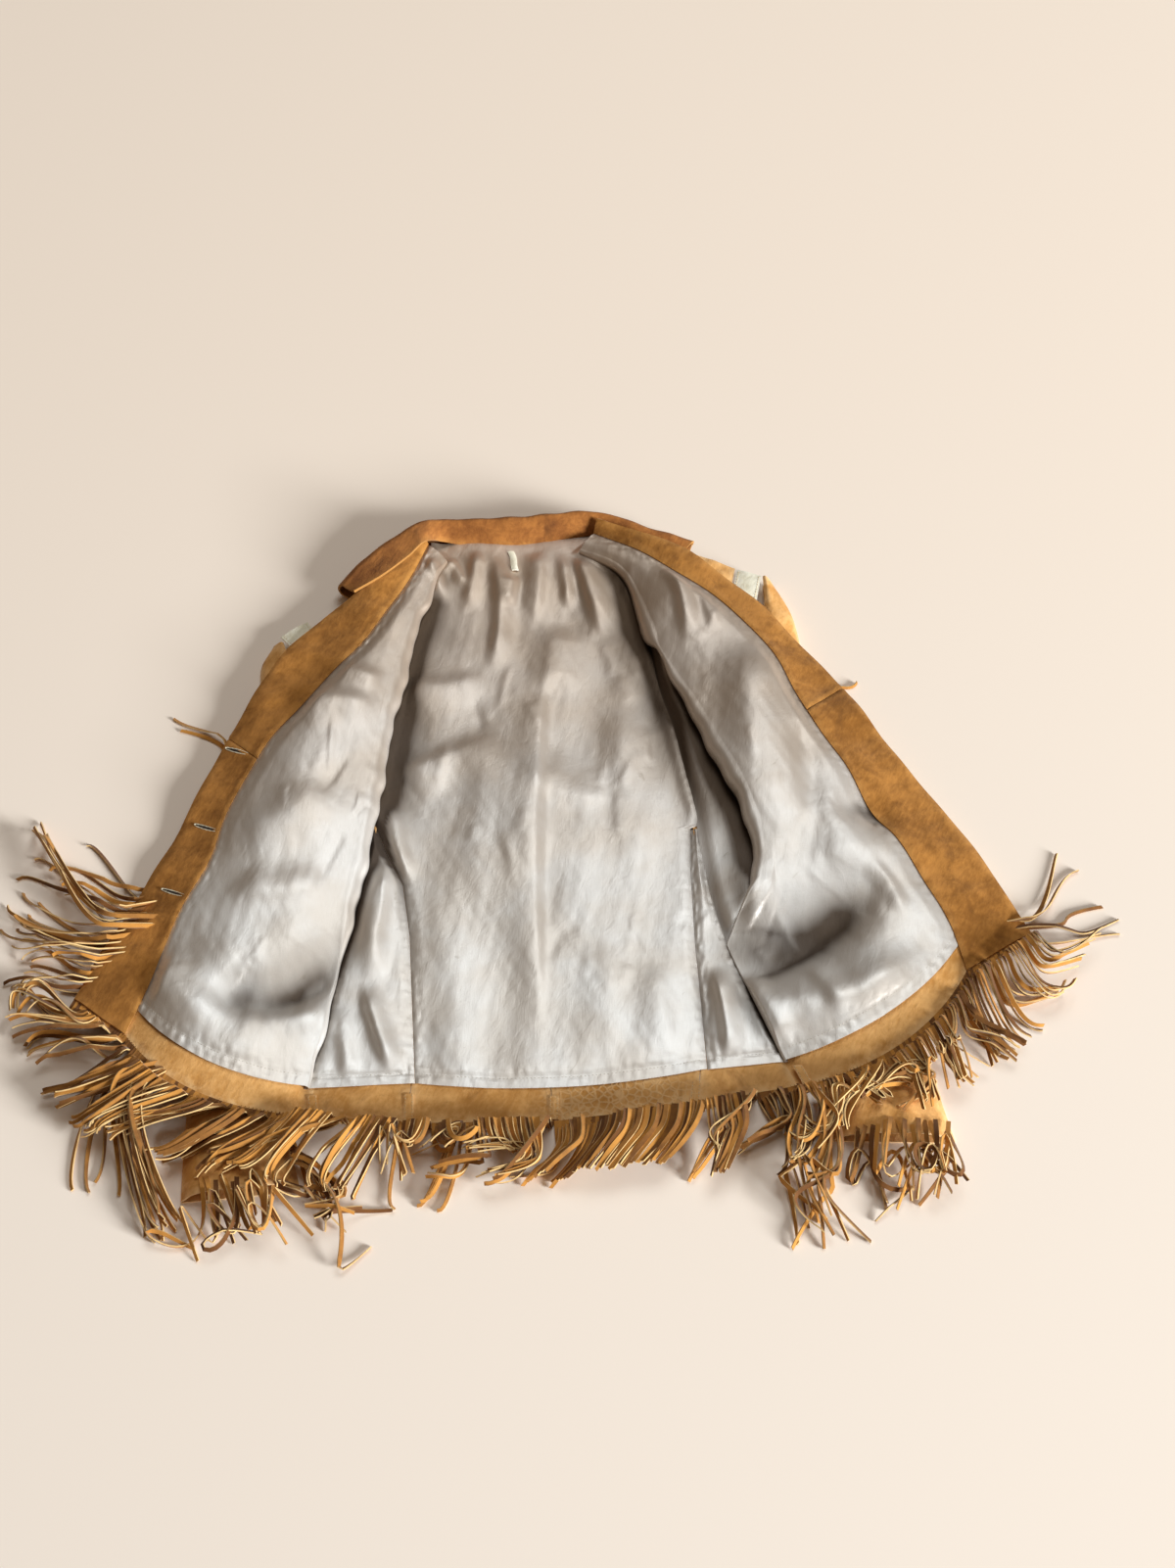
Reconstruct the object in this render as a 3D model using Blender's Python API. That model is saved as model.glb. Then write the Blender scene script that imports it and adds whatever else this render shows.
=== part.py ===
"""Fringed buckskin jacket lying open on its back, built in metres with +Z up.

The collar is at +Y and the hem at -Y.  "right" and "left" are the wearer's, so the right
front lies at -X.  Every table is in millimetres, and build_all() moves the finished
pieces over the origin.  Every cloth piece is a lattice of points (rows down the jacket,
columns across it) closed by a second lattice one wall thickness away.
"""
from collections import namedtuple

import bpy
import numpy as np

MM = 0.001
LEATHER, LINING, FACING, COLLAR, FRINGE = 1.4, 1.0, 1.2, 2.6, 3.4
GAP = 0.45                                   # air between two layers that lie on each other
STACK = LEATHER + GAP + FACING               # table heights are of the top face of the stack
LINING_ROWS, HEM_BAND, HEM_BOW = 18, 0.042, 23.0
FOLD_COLUMNS = ((-5.0, 0.0), (2.0, 0.0), (3.4, 0.55), (6.0, 1.0))   # across the fold, share up
LINING_COLUMNS, FACING_COLUMNS, FRONT_BULGE, HEM_BULGE = 8, 2, 3.0, 8.5
NECK_RISE, NECK_RISE_FROM, NECK_RISE_LENGTH = 4.6, 175.0, 75.0
ROOT_REACH = 10.0                            # how far up the neck's slope a front's root lies
UNDERARM_Y, FLOOR_Y = -60.0, -112.0          # the front's root leaves the back's top here
SIDE_GAP, NECK_GAP, SEAM_GAP, SLEEVE_CLEARANCE = 1.2, 2.6, 0.8, 2.2
NEARBY = (0.0, 13.0, 26.0)                   # how far around a point the layer above is felt

Finish = namedtuple("Finish", "colour roughness metallic")
BUCKSKIN = Finish((0.46, 0.25, 0.085), 0.85, 0.0)
COLLAR_HIDE = Finish((0.30, 0.12, 0.045), 0.7, 0.0)
CREAM_HIDE = Finish((0.70, 0.62, 0.43), 0.75, 0.0)
SATIN = Finish((0.52, 0.50, 0.47), 0.35, 0.0)
FRINGE_HIDE = Finish((0.52, 0.30, 0.11), 0.85, 0.0)
HORN = Finish((0.10, 0.05, 0.03), 0.35, 0.0)

# One row per section of a front, neck to hem: the fold over the side body, the line where
# lining meets facing, and the front edge, each with the height of the stack's top face.
Section = namedtuple("Section", "fold_x fold_y fold_z face_x face_y face_z edge_x edge_y edge_z")
LEFT_FRONT = (
    Section(-7, 268, 13, 8, 287, 18, 13, 296, 36),
    Section(30, 240, 16, 43, 260, 26, 53, 274, 32),
    Section(46, 199, 18, 78, 231, 28, 93, 253, 30),
    Section(56, 153, 19, 114, 201, 28, 127, 221, 28),
    Section(64, 106, 20, 143, 166, 28, 160, 189, 26),
    Section(76, 59, 20, 168, 128, 28, 187, 152, 22),
    Section(85, 11, 19, 185, 85, 26, 215, 116, 19),
    Section(94, -37, 16, 204, 43, 25, 240, 77, 17),
    Section(99, -85, 14, 226, 3, 23, 262, 37, 15),
    Section(106, -133, 11, 243, -39, 20, 286, -3, 13),
    Section(118, -180, 9, 267, -78, 20, 310, -41, 11),
    Section(135, -225, 7, 286, -120, 18, 333, -81, 10),
    Section(152, -270, 6, 304, -162, 16, 353, -123, 9),
    Section(171, -315, 5, 314, -207, 13, 373, -164, 7))
RIGHT_FRONT = (
    Section(-132, 256, 13, -149, 272, 18, -155, 280, 33),
    Section(-146, 216, 16, -163, 230, 20, -182, 246, 26),
    Section(-158, 172, 18, -183, 188, 21, -210, 210, 22),
    Section(-167, 127, 19, -204, 147, 22, -241, 177, 20),
    Section(-174, 80, 20, -230, 111, 22, -271, 143, 18),
    Section(-180, 33, 20, -254, 72, 22, -292, 103, 16),
    Section(-185, -14, 19, -279, 34, 22, -309, 62, 15),
    Section(-188, -61, 18, -298, -8, 19, -325, 20, 13),
    Section(-195, -108, 16, -313, -51, 18, -340, -23, 12),
    Section(-201, -155, 14, -322, -96, 17, -354, -65, 10),
    Section(-207, -202, 12, -339, -138, 16, -372, -107, 8),
    Section(-214, -249, 9, -352, -181, 14, -389, -149, 7),
    Section(-222, -295, 7, -363, -226, 13, -408, -190, 8),
    Section(-230, -342, 6, -377, -269, 11, -423, -232, 7))

# Largest folds of the lining: a ridge from one end to the other.
Fold = namedtuple("Fold", "x0 y0 x1 y1 height width")
FOLDS = (
    Fold(-85, 262, -80, 160, 5, 12), Fold(-80, 160, -87, 112, 4, 14),
    Fold(-5, 258, 0, 226, 5, 12), Fold(0, 226, 16, 169, 5, 13),
    Fold(-21, 184, -36, 102, 4, 18), Fold(-30, 41, -33, -109, 3, 30),
    Fold(-140, 250, -128, 205, 4, 12), Fold(-170, -60, -164, -120, 3, 12),
    Fold(-258, 60, -195, 60, 5, 14), Fold(-301, -79, -229, -16, 5, 20),
    Fold(-331, -214, -217, -199, 6, 18), Fold(-181, -213, -165, -290, 5, 12),
    Fold(64, 238, 84, 204, 4, 12), Fold(84, 204, 96, 149, 5, 13),
    Fold(104, 70, 116, -4, 6, 14), Fold(130, -60, 139, -150, 6, 14),
    Fold(120, -196, 189, -190, 6, 16), Fold(189, -190, 239, -160, 6, 16),
    Fold(139, 89, 167, -82, 6, 20), Fold(112, -205, 118, -280, 5, 10))

# Back and side bodies: the outline of each half of the back, neck to hem.
Point = namedtuple("Point", "x y")
BACK_CENTRE = (Point(-73, 269), Point(-60, 100), Point(-45, -120), Point(-27, -346))
BACK_RIGHT_EDGE = (Point(-140, 270), Point(-246, 178), Point(-222, 120), Point(-204, 70),
                   Point(-191, 10), Point(-186, -40), Point(-158, -112), Point(-147, -200),
                   Point(-141, -300), Point(-145, -348))
BACK_LEFT_EDGE = (Point(-6, 277), Point(156, 222), Point(140, 150), Point(122, 80),
                  Point(104, 10), Point(88, -50), Point(88, -88), Point(90, -171),
                  Point(95, -260), Point(88, -330))
LINING_TOP = (Point(-141, 262), Point(-3, 275))
LINING_HEM = (Point(-139, -311), Point(97, -297))
LINING_SAG_TOP, LINING_SAG_HEM = -6.0, -11.0
RIGHT_LINING_SEAM = (Point(-187, -40), Point(-173, -76), Point(-157, -112), Point(-149, -165),
                     Point(-146, -210), Point(-139, -311))
LEFT_LINING_SEAM = (Point(89, -50), Point(88, -88), Point(90, -171), Point(94, -239),
                    Point(97, -298))
BACK_HEM_DROP = 6.0                          # the back's hem bows this far below its chord
SIDE_TOP_Y = -54.0

# One row per section of a sleeve lying flat: seam at its inner and outer side, crown of the
# upper sheet, and how far its inner side stands off the lower sheet.
Arm = namedtuple("Arm", "inner_x inner_y outer_x outer_y crown inner_rise")
LEFT_SLEEVE = (
    Arm(163, 235, 172, 232, 4, 11), Arm(163, 200, 187, 198, 6, 10),
    Arm(155, 160, 194, 158, 9, 5), Arm(132, 105, 203, 104, 11, 0),
    Arm(118, 50, 212, 50, 13, 0), Arm(109, 0, 221, 0, 13, 0),
    Arm(116, -60, 232, -60, 13, 0), Arm(136, -140, 248, -140, 12, 0),
    Arm(162, -215, 262, -215, 10, 0), Arm(186, -280, 274, -276, 7, 0),
    Arm(196, -332, 284, -328, 10, 0), Arm(196, -364, 292, -366, 13, 0))
RIGHT_SLEEVE = (
    Arm(-275, 148, -280, 147, 2, 10), Arm(-268, 133, -286, 130, 4, 8),
    Arm(-236, 105, -289, 103, 9, 0), Arm(-215, 55, -294, 55, 10, 0),
    Arm(-203, 10, -298, 10, 11, 0), Arm(-200, -40, -303, -40, 11, 0),
    Arm(-205, -110, -309, -110, 11, 0), Arm(-215, -180, -314, -180, 10, 0),
    Arm(-230, -250, -320, -250, 8, 0), Arm(-246, -320, -321, -312, 5, 0),
    Arm(-236, -372, -320, -376, 10, 0), Arm(-226, -410, -318, -420, 13, 0))
SLEEVE_COLUMNS = 8

# One row per section of the collar, right point to left point: neck seam, roll, and the
# far edge of the fall, which is tucked beneath the neck.
Roll = namedtuple("Roll", "seam_x seam_y seam_z roll_x roll_y roll_z edge_x edge_y edge_z")
COLLAR_ROWS = (
    Roll(-213, 214, 9, -222, 218, 9, -219, 214, 5),
    Roll(-186, 236, 13, -199, 245, 14, -194, 238, 6),
    Roll(-162, 258, 12, -166, 276, 19, -160, 264, 4),
    Roll(-146, 278, 9, -142, 290, 24, -142, 266, 1.8),
    Roll(-115, 281, 8, -117, 293, 27, -115, 262, 1.8),
    Roll(-74, 280, 8, -73, 294, 29, -74, 260, 1.8),
    Roll(-37, 284, 8, -37, 297, 30, -37, 264, 1.8),
    Roll(-8, 290, 9, -4, 301, 30, -6, 272, 1.8),
    Roll(18, 291, 13, 24, 299, 27, 22, 282, 4),
    Roll(44, 282, 15, 50, 290, 22, 48, 278, 9),
    Roll(72, 274, 14, 76, 282, 19, 75, 272, 11),
    Roll(92, 270, 13, 97, 275, 16, 96, 270, 12))

# Shoulder pieces: the far edge and the near edge, and the height of each end.
Strip = namedtuple("Strip", "far_x far_y near_x near_y low_z")
LEFT_SHOULDER = (Strip(70, 261, 66, 236, 12), Strip(95, 262, 90, 222, 14),
                 Strip(116, 254, 112, 206, 14), Strip(137, 245, 127, 190, 12))
RIGHT_SHOULDER = (Strip(-214, 203, -200, 190, 7), Strip(-230, 188, -214, 172, 9),
                  Strip(-246, 173, -228, 156, 9))
LEFT_BAND = (Strip(139, 243, 129, 188, 12.5), Strip(150, 239, 140, 186, 13.5),
             Strip(161, 235, 152, 184, 13))
RIGHT_BAND = (Strip(-249, 170, -240, 150, 9.5), Strip(-261, 161, -250, 141, 10.5),
              Strip(-272, 151, -262, 136, 10.5))
LOOP_POINTS = (Point(-71, 261), Point(-69, 250), Point(-68, 236))
LOOP_WIDTH, LOOP_WALL, LOOP_GAP = 6.0, 1.2, 1.0

# How far the fringe reaches from each stretch of hem or sleeve.
RIGHT_FRONT_REACH = (Point(-233, -404), Point(-266, -453), Point(-319, -450), Point(-362, -425),
                     Point(-410, -394), Point(-450, -310), Point(-468, -240))
RIGHT_SIDE_REACH = (Point(-150, -424), Point(-168, -431), Point(-231, -404))
BACK_RIGHT_REACH = (Point(-25, -408), Point(-77, -409), Point(-148, -424))
BACK_LEFT_REACH = (Point(-23, -408), Point(30, -407), Point(92, -405))
LEFT_SIDE_REACH = (Point(95, -405), Point(165, -459), Point(197, -432))
LEFT_FRONT_REACH = (Point(199, -432), Point(240, -436), Point(280, -424), Point(306, -350),
                    Point(352, -262), Point(410, -206), Point(443, -170))
RIGHT_SLEEVE_ROOT = (Point(-426, -226), Point(-412, -188), Point(-393, -146), Point(-376, -104))
RIGHT_SLEEVE_REACH = (Point(-468, -230), Point(-473, -150), Point(-473, -58), Point(-404, -84))
LEFT_SLEEVE_ROOT = (Point(376, -158), Point(366, -140), Point(357, -120))
LEFT_SLEEVE_REACH = (Point(443, -160), Point(438, -120), Point(401, -74))
FRINGE_COLUMNS, FRINGE_LIFT, ROOT_GAP = 4, 2.6, 0.8

BUTTON_RADIUS, BUTTON_HEIGHT, BUTTON_SIDES = 9.5, 3.4, 20
BUTTON_SHARES = (0.52, 0.66, 0.80)           # down the left front edge, neck to hem
BUTTON_INSET = 16.0


def smooth(value):
    """A soft step that goes from 0 to 1 as value does."""
    t = np.clip(value, 0.0, 1.0)
    return t * t * (3.0 - 2.0 * t)


def along(points, shares):
    """Points of a polyline at shares of its length; every coordinate is interpolated."""
    table = np.array(points, float)
    steps = np.linalg.norm(np.diff(table[:, :2], axis=0), axis=1)
    reach = np.concatenate(([0.0], np.cumsum(steps)))
    wanted = np.asarray(shares, float) * reach[-1]
    return np.stack([np.interp(wanted, reach, table[:, k]) for k in range(table.shape[1])], -1)


def between_rows(table, shares):
    """Rows of a named table at shares of its row count, as a float array."""
    rows = np.array(table, float)
    wanted = np.asarray(shares, float) * (len(rows) - 1)
    own = np.arange(len(rows))
    return np.stack([np.interp(wanted, own, rows[:, k]) for k in range(rows.shape[1])], -1)


def neck_rise(y):
    """How far the collar's tucked fall lifts the layers above it."""
    return NECK_RISE * smooth((y - NECK_RISE_FROM) / NECK_RISE_LENGTH)


def fold_height(x, y):
    """Extra height of the lining over its base, from the table of largest folds."""
    total = np.zeros_like(x)
    for fold in FOLDS:
        ax, ay, bx, by = fold.x0, fold.y0, fold.x1, fold.y1
        dx, dy = bx - ax, by - ay
        share = np.clip(((x - ax) * dx + (y - ay) * dy) / (dx * dx + dy * dy), 0.0, 1.0)
        away = np.hypot(x - ax - share * dx, y - ay - share * dy)
        total = np.maximum(total, fold.height * np.exp(-(away / fold.width) ** 2))
    return total


def normals(lattice):
    """Unit normals of a lattice, pointing up where it lies flat."""
    down = np.gradient(lattice, axis=0)
    across = np.gradient(lattice, axis=1)
    cross = np.cross(down, across)
    cross *= np.sign(cross[..., 2].sum())
    return cross / np.linalg.norm(cross, axis=2, keepdims=True)


def lifted(lattice, distance):
    """The lattice moved straight up."""
    out = lattice.copy()
    out[..., 2] += distance
    return out


def height_on(lattice, x, y):
    """Height of a lattice at a plan point, or None outside it."""
    corners = lattice[:-1, :-1], lattice[1:, :-1], lattice[1:, 1:], lattice[:-1, 1:]
    best = None
    for first, second, third in ((0, 1, 2), (0, 2, 3)):
        a, b, c = (corners[k].reshape(-1, 3) for k in (first, second, third))
        area = (b[:, 0] - a[:, 0]) * (c[:, 1] - a[:, 1]) - (c[:, 0] - a[:, 0]) * (b[:, 1] - a[:, 1])
        area = np.where(np.abs(area) < 1e-6, np.nan, area)
        u = ((x - a[:, 0]) * (c[:, 1] - a[:, 1]) - (c[:, 0] - a[:, 0]) * (y - a[:, 1])) / area
        v = ((b[:, 0] - a[:, 0]) * (y - a[:, 1]) - (x - a[:, 0]) * (b[:, 1] - a[:, 1])) / area
        inside = (u >= 0) & (v >= 0) & (u + v <= 1)
        if inside.any():
            z = (a[:, 2] + u * (b[:, 2] - a[:, 2]) + v * (c[:, 2] - a[:, 2]))[inside]
            best = z.min() if best is None else min(best, z.min())
    return best


def extreme_near(pick, lattices, x, y):
    """The least or greatest height of some lattices at and around a plan point, or None."""
    spots = [(x + way * reach, y) for reach in NEARBY for way in (-1, 1)]
    spots += [(x, y + way * reach) for reach in NEARBY[1:] for way in (-1, 1)]
    spots += [(x + 0.7 * reach, y + 0.7 * reach * way) for reach in (-26, 26) for way in (-1, 1)]
    found = [height_on(lattice, *spot) for lattice in lattices for spot in spots]
    found = [height for height in found if height is not None]
    return pick(found) if found else None


def spanned(first, second, columns):
    """A lattice of straight rows between two polylines of the same number of points."""
    share = np.linspace(0.0, 1.0, columns)[None, :, None]
    return first[:, None, :] * (1.0 - share) + second[:, None, :] * share


def flat(plan, z=0.0):
    """Adds a height to an array of plan points."""
    return np.concatenate((plan, np.full(plan.shape[:-1] + (1,), float(z))), axis=-1)


def front_lattice(table):
    """Lower face of a front's leather: fold, then under the lining, then under the facing."""
    shares = np.append(np.linspace(0.0, 1.0 - HEM_BAND, LINING_ROWS), 1.0)
    rows = []
    for share, row in zip(shares, between_rows(table, shares)):
        part = Section(*row)
        fold, face, edge = row[0:2], row[3:5], row[6:8]
        run = face - fold
        length = np.hypot(*run)
        out = run / length
        down = np.array((out[1], -out[0])) * np.sign(out[0])
        scale = min(1.0, length / 26.0)
        on_back = smooth((part.fold_y - FLOOR_Y) / (UNDERARM_Y - FLOOR_Y))
        root = (LEATHER + GAP) * on_back + neck_rise(part.fold_y + ROOT_REACH)
        top = max(part.fold_z - STACK, root + 0.2)
        points = []
        for reach, rise in FOLD_COLUMNS:
            spot = fold + out * reach * scale
            points.append((*spot, root + (top - root) * rise))
        start = fold + out * FOLD_COLUMNS[-1][0] * scale
        bulge = FRONT_BULGE + (HEM_BULGE - FRONT_BULGE) * share ** 2
        for step in range(1, LINING_COLUMNS + 1):
            t = step / LINING_COLUMNS
            swell = 4.0 * t * (1.0 - t)
            spot = start + (face - start) * t + down * HEM_BOW * share ** 3 * swell
            z = top + (part.face_z - STACK - top) * t
            points.append((*spot, z + bulge * swell * min(1.0, length / 60.0)))
        for step in range(1, FACING_COLUMNS + 1):
            t = step / FACING_COLUMNS
            spot = face + (edge - face) * t
            points.append((*spot, (part.face_z + (part.edge_z - part.face_z) * t) - STACK))
        rows.append(points)
    return np.array(rows)


def front_pieces(side, lattice):
    """Leather, lining and the two halves of the facing of one front."""
    seam = len(FOLD_COLUMNS) + LINING_COLUMNS - 1
    up = normals(lattice)
    across = lattice[:LINING_ROWS, seam - 1] - lattice[:LINING_ROWS, seam]
    width = np.linalg.norm(across, axis=1, keepdims=True)
    base = lattice[:LINING_ROWS, :seam + 1].copy()
    base[:, -1] += across / width * np.minimum(SEAM_GAP, 0.45 * width)
    share = np.clip(np.arange(seam + 1) - 3, 0, 3) / 3.0
    puff = fold_height(base[..., 0], base[..., 1]) * share[None, :]
    puff[:, -1] = 0.0
    up_lining = up[:LINING_ROWS, :seam + 1]
    inner = base + up_lining * (LEATHER + GAP + puff)[..., None]
    facing, up_facing = lattice[:, seam:] + up[:, seam:] * (LEATHER + GAP), up[:, seam:]
    half = LINING_ROWS // 2
    upper, lower = facing[:half + 1], facing[half:].copy()
    lower[0] += (lower[1] - lower[0]) * 0.02
    return [
        ("front_" + side, lattice, lattice + up * LEATHER, BUCKSKIN),
        ("lining_front_" + side, inner, inner + up_lining * LINING, SATIN),
        ("facing_upper_" + side, upper, upper + up_facing[:half + 1] * FACING, BUCKSKIN),
        ("facing_lower_" + side, lower, lower + up_facing[half:] * FACING, BUCKSKIN)]


def back_half(side, edge):
    """Leather of half the back: centre seam to shoulder, armhole and side body."""
    shares = np.linspace(0.0, 1.0, 20) ** 1.25
    centre = along(BACK_CENTRE, shares)
    centre[:, 0] += 0.3 if edge is BACK_LEFT_EDGE else -0.3
    plan = spanned(centre, along(edge, shares), 5)
    lattice = flat(plan)
    lattice[..., 2] = neck_rise(lattice[..., 1])
    return [("back_" + side, lattice, lifted(lattice, LEATHER), BUCKSKIN)]


def lining_back(left_front, right_front):
    """Back lining between the roots of the two fronts and, lower down, its side seams."""
    shares = np.linspace(0.0, 1.0, LINING_ROWS) ** 1.3
    columns = 14
    rows = []
    for share in shares:
        ends = []
        for top, hem, front, seam in ((LINING_TOP[0], LINING_HEM[0], right_front, RIGHT_LINING_SEAM),
                                      (LINING_TOP[1], LINING_HEM[1], left_front, LEFT_LINING_SEAM)):
            y = top.y + (hem.y - top.y) * share
            root = front[::-1, 0]
            x_root = np.interp(y, root[:, 1], root[:, 0])
            x_seam = np.interp(y, [p.y for p in seam][::-1], [p.x for p in seam][::-1])
            inward = 1.0 if front is right_front else -1.0
            x_root += inward * (SIDE_GAP + NECK_GAP * smooth((y - 235.0) / 25.0))
            x = inward * max(inward * x_root, inward * x_seam) if y < seam[0].y else x_root
            ends.append((x, y))
        sag = LINING_SAG_TOP * (1.0 - smooth(share * 4)) + LINING_SAG_HEM * smooth(share * 2 - 1)
        t = np.linspace(0.0, 1.0, columns)
        x = ends[0][0] + (ends[1][0] - ends[0][0]) * t
        y = ends[0][1] + (ends[1][1] - ends[0][1]) * t + sag * 4.0 * t * (1.0 - t)
        rows.append(np.stack((x, y), -1))
    lattice = flat(np.array(rows))
    x, y = lattice[..., 0], lattice[..., 1]
    puff = fold_height(x, y)
    puff[:, (0, -1)] = 0.0
    lattice[..., 2] = neck_rise(y + ROOT_REACH) + LEATHER + GAP + puff
    return [("lining_back", lattice, lifted(lattice, LINING), SATIN)]


def side_body(side, front, back_edge, seam):
    """Leather and lining of the body between back and front, where it lies on the floor."""
    rows = [k for k in range(len(front)) if front[k, 0, 1] < SIDE_TOP_Y]
    inward = 1.0 if front[0, 0, 0] < front[0, -1, 0] and side == "left" else -1.0
    root = front[rows, 0, :2].copy()
    outer = root - np.array((inward * 0.5, 0.0))
    y_hem = back_edge[-1].y
    drop = smooth((root[:, 1] - root[0, 1]) / (root[-1, 1] - root[0, 1]))
    inner = np.stack((root[:, 0], root[:, 1] + (y_hem - root[-1, 1]) * drop), -1)
    loose = SEAM_GAP + 2.0 * (1.0 - drop)
    inner[:, 0] = np.interp(inner[:, 1], [p.y for p in back_edge][::-1],
                            [p.x for p in back_edge][::-1]) + inward * loose
    hide = flat(spanned(inner, outer, 4))
    lined = rows[:-1]
    outer_cloth = front[lined, 0, :2] - np.array((inward * 0.8, 0.0))
    seam_y = root[:-1, 1] + (seam[-1].y - root[-2, 1]) * drop[:-1] / max(drop[-2], 1e-6)
    seam_x = np.interp(seam_y, [p.y for p in seam][::-1], [p.x for p in seam][::-1])
    inner_cloth = np.stack((seam_x + inward * loose[:-1], seam_y), -1)
    cloth = flat(spanned(inner_cloth, outer_cloth, 5))
    puff = fold_height(cloth[..., 0], cloth[..., 1])
    puff[:, (0, -1)] = 0.0
    cloth[..., 2] = LEATHER + GAP + puff
    return [("side_body_" + side, hide, lifted(hide, LEATHER), BUCKSKIN),
            ("lining_side_" + side, cloth, lifted(cloth, LINING), SATIN)]


def sleeve(side, table, front):
    """Upper and lower sheet of a flat sleeve, open at the cuff, kept under the front."""
    rows = between_rows(table, np.linspace(0.0, 1.0, 18))
    plan = spanned(rows[:, 0:2], rows[:, 2:4], SLEEVE_COLUMNS + 1)
    under = flat(plan)
    over = flat(plan)
    t = np.linspace(0.0, 1.0, SLEEVE_COLUMNS + 1)
    for i, row in enumerate(rows):
        part = Arm(*row)
        z = LEATHER + GAP + part.inner_rise * (1.0 - t) + part.crown * (1.0 - (2.0 * t - 1.0) ** 4)
        for j in range(len(t)):
            roof = extreme_near(min, [front], *plan[i, j])
            if roof is not None:
                z[j] = min(z[j], max(LEATHER + GAP, roof - LEATHER - SLEEVE_CLEARANCE))
        over[i, :, 2] = z
    return [("sleeve_under_" + side, under, lifted(under, LEATHER), BUCKSKIN),
            ("sleeve_top_" + side, over, lifted(over, LEATHER), BUCKSKIN)]


def collar():
    """Collar: stand up from the neck, roll over, fall tucked down beneath the neck."""
    rows = between_rows(COLLAR_ROWS, np.linspace(0.0, 1.0, 19))
    lattice = []
    for row in rows:
        part = Roll(*row)
        seam, top, edge = row[0:3], row[3:6], row[6:9]
        out = top[:2] - seam[:2]
        reach = max(np.hypot(*out), 1.0)
        out = out / reach
        stand = part.roll_z - part.seam_z
        back = min(5.0, 0.35 * reach)
        low = max(part.edge_z + 2.0, 4.5) if part.edge_z < 4.0 else part.edge_z + 1.0
        low = min(low, part.roll_z - 2.0)
        profile = [
            (*seam[:2], part.seam_z),
            (*(seam[:2] + out * 0.40 * reach), part.seam_z + 0.55 * stand),
            (*(seam[:2] + out * 0.75 * reach), part.seam_z + 0.90 * stand),
            (*(top[:2] + out * 0.10 * back), part.roll_z),
            (*(top[:2] + out * 0.90 * back), part.roll_z - 0.22 * (part.roll_z - low)),
            (*(top[:2] + out * 1.25 * back), low + 0.35 * (part.roll_z - low)),
            (*(top[:2] + out * 1.10 * back), low),
            (*(top[:2] + out * 0.30 * back), part.edge_z + 0.15 * (low - part.edge_z)),
            (*edge[:2], part.edge_z)]
        lattice.append(profile)
    middle = np.array(lattice)
    cross = np.cross(np.gradient(middle, axis=0), np.gradient(middle, axis=1))
    unit = cross / np.linalg.norm(cross, axis=2, keepdims=True)
    return [("collar", middle - unit * COLLAR / 2, middle + unit * COLLAR / 2, COLLAR_HIDE)]


def strip(name, table, thickness, finish, crown=1.5):
    """A shoulder piece or band between its far and near edge, slightly crowned."""
    rows = between_rows(table, np.linspace(0.0, 1.0, 2 * len(table) - 1))
    plan = spanned(rows[:, 0:2], rows[:, 2:4], 5)
    lattice = flat(plan)
    t = np.linspace(0.0, 1.0, 5)
    lattice[..., 2] = rows[:, 4][:, None] + crown * (1.0 - (2.0 * t - 1.0) ** 2)[None, :]
    return [(name, lattice, lifted(lattice, thickness), finish)]


def hanger_loop(lining):
    """Narrow strip lying on the back lining under the collar."""
    top = lining[2]
    centre = along(LOOP_POINTS, np.linspace(0.0, 1.0, 5))
    plan = np.stack([centre + np.array((k * LOOP_WIDTH / 2, 0.0)) for k in (-1, 0, 1)], 1)
    lattice = flat(plan)
    for i in range(plan.shape[0]):
        for j in range(plan.shape[1]):
            lattice[i, j, 2] = (height_on(top, *plan[i, j]) or NECK_RISE + 4.0) + LOOP_GAP
    return [("hanger_loop", lattice, lifted(lattice, LOOP_WALL), CREAM_HIDE)]


def fringe(name, root, reach, cuffs):
    """Plain solid of the reach of one stretch of fringe, draped over the cuff beneath."""
    end = along(reach, np.linspace(0.0, 1.0, len(root)))
    plan = spanned(root[:, :2], end, FRINGE_COLUMNS + 1)
    lattice = flat(plan)
    for i in range(plan.shape[0]):
        for j in range(plan.shape[1]):
            z = root[i, 2] * (1.0 - j / FRINGE_COLUMNS)
            under = extreme_near(max, cuffs, *plan[i, j]) if j else None
            lattice[i, j, 2] = z if under is None else max(z, under + FRINGE_LIFT)
    return [(name, lattice, lifted(lattice, FRINGE), FRINGE_HIDE)]


def hem_root(lattice, columns):
    """Points just beyond the hem of a leather lattice, at its lower face."""
    last, before = lattice[-1, columns], lattice[-2, columns]
    step = last - before
    step[:, 2] = 0.0
    root = last + step / np.linalg.norm(step, axis=1, keepdims=True) * ROOT_GAP
    return root


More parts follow.
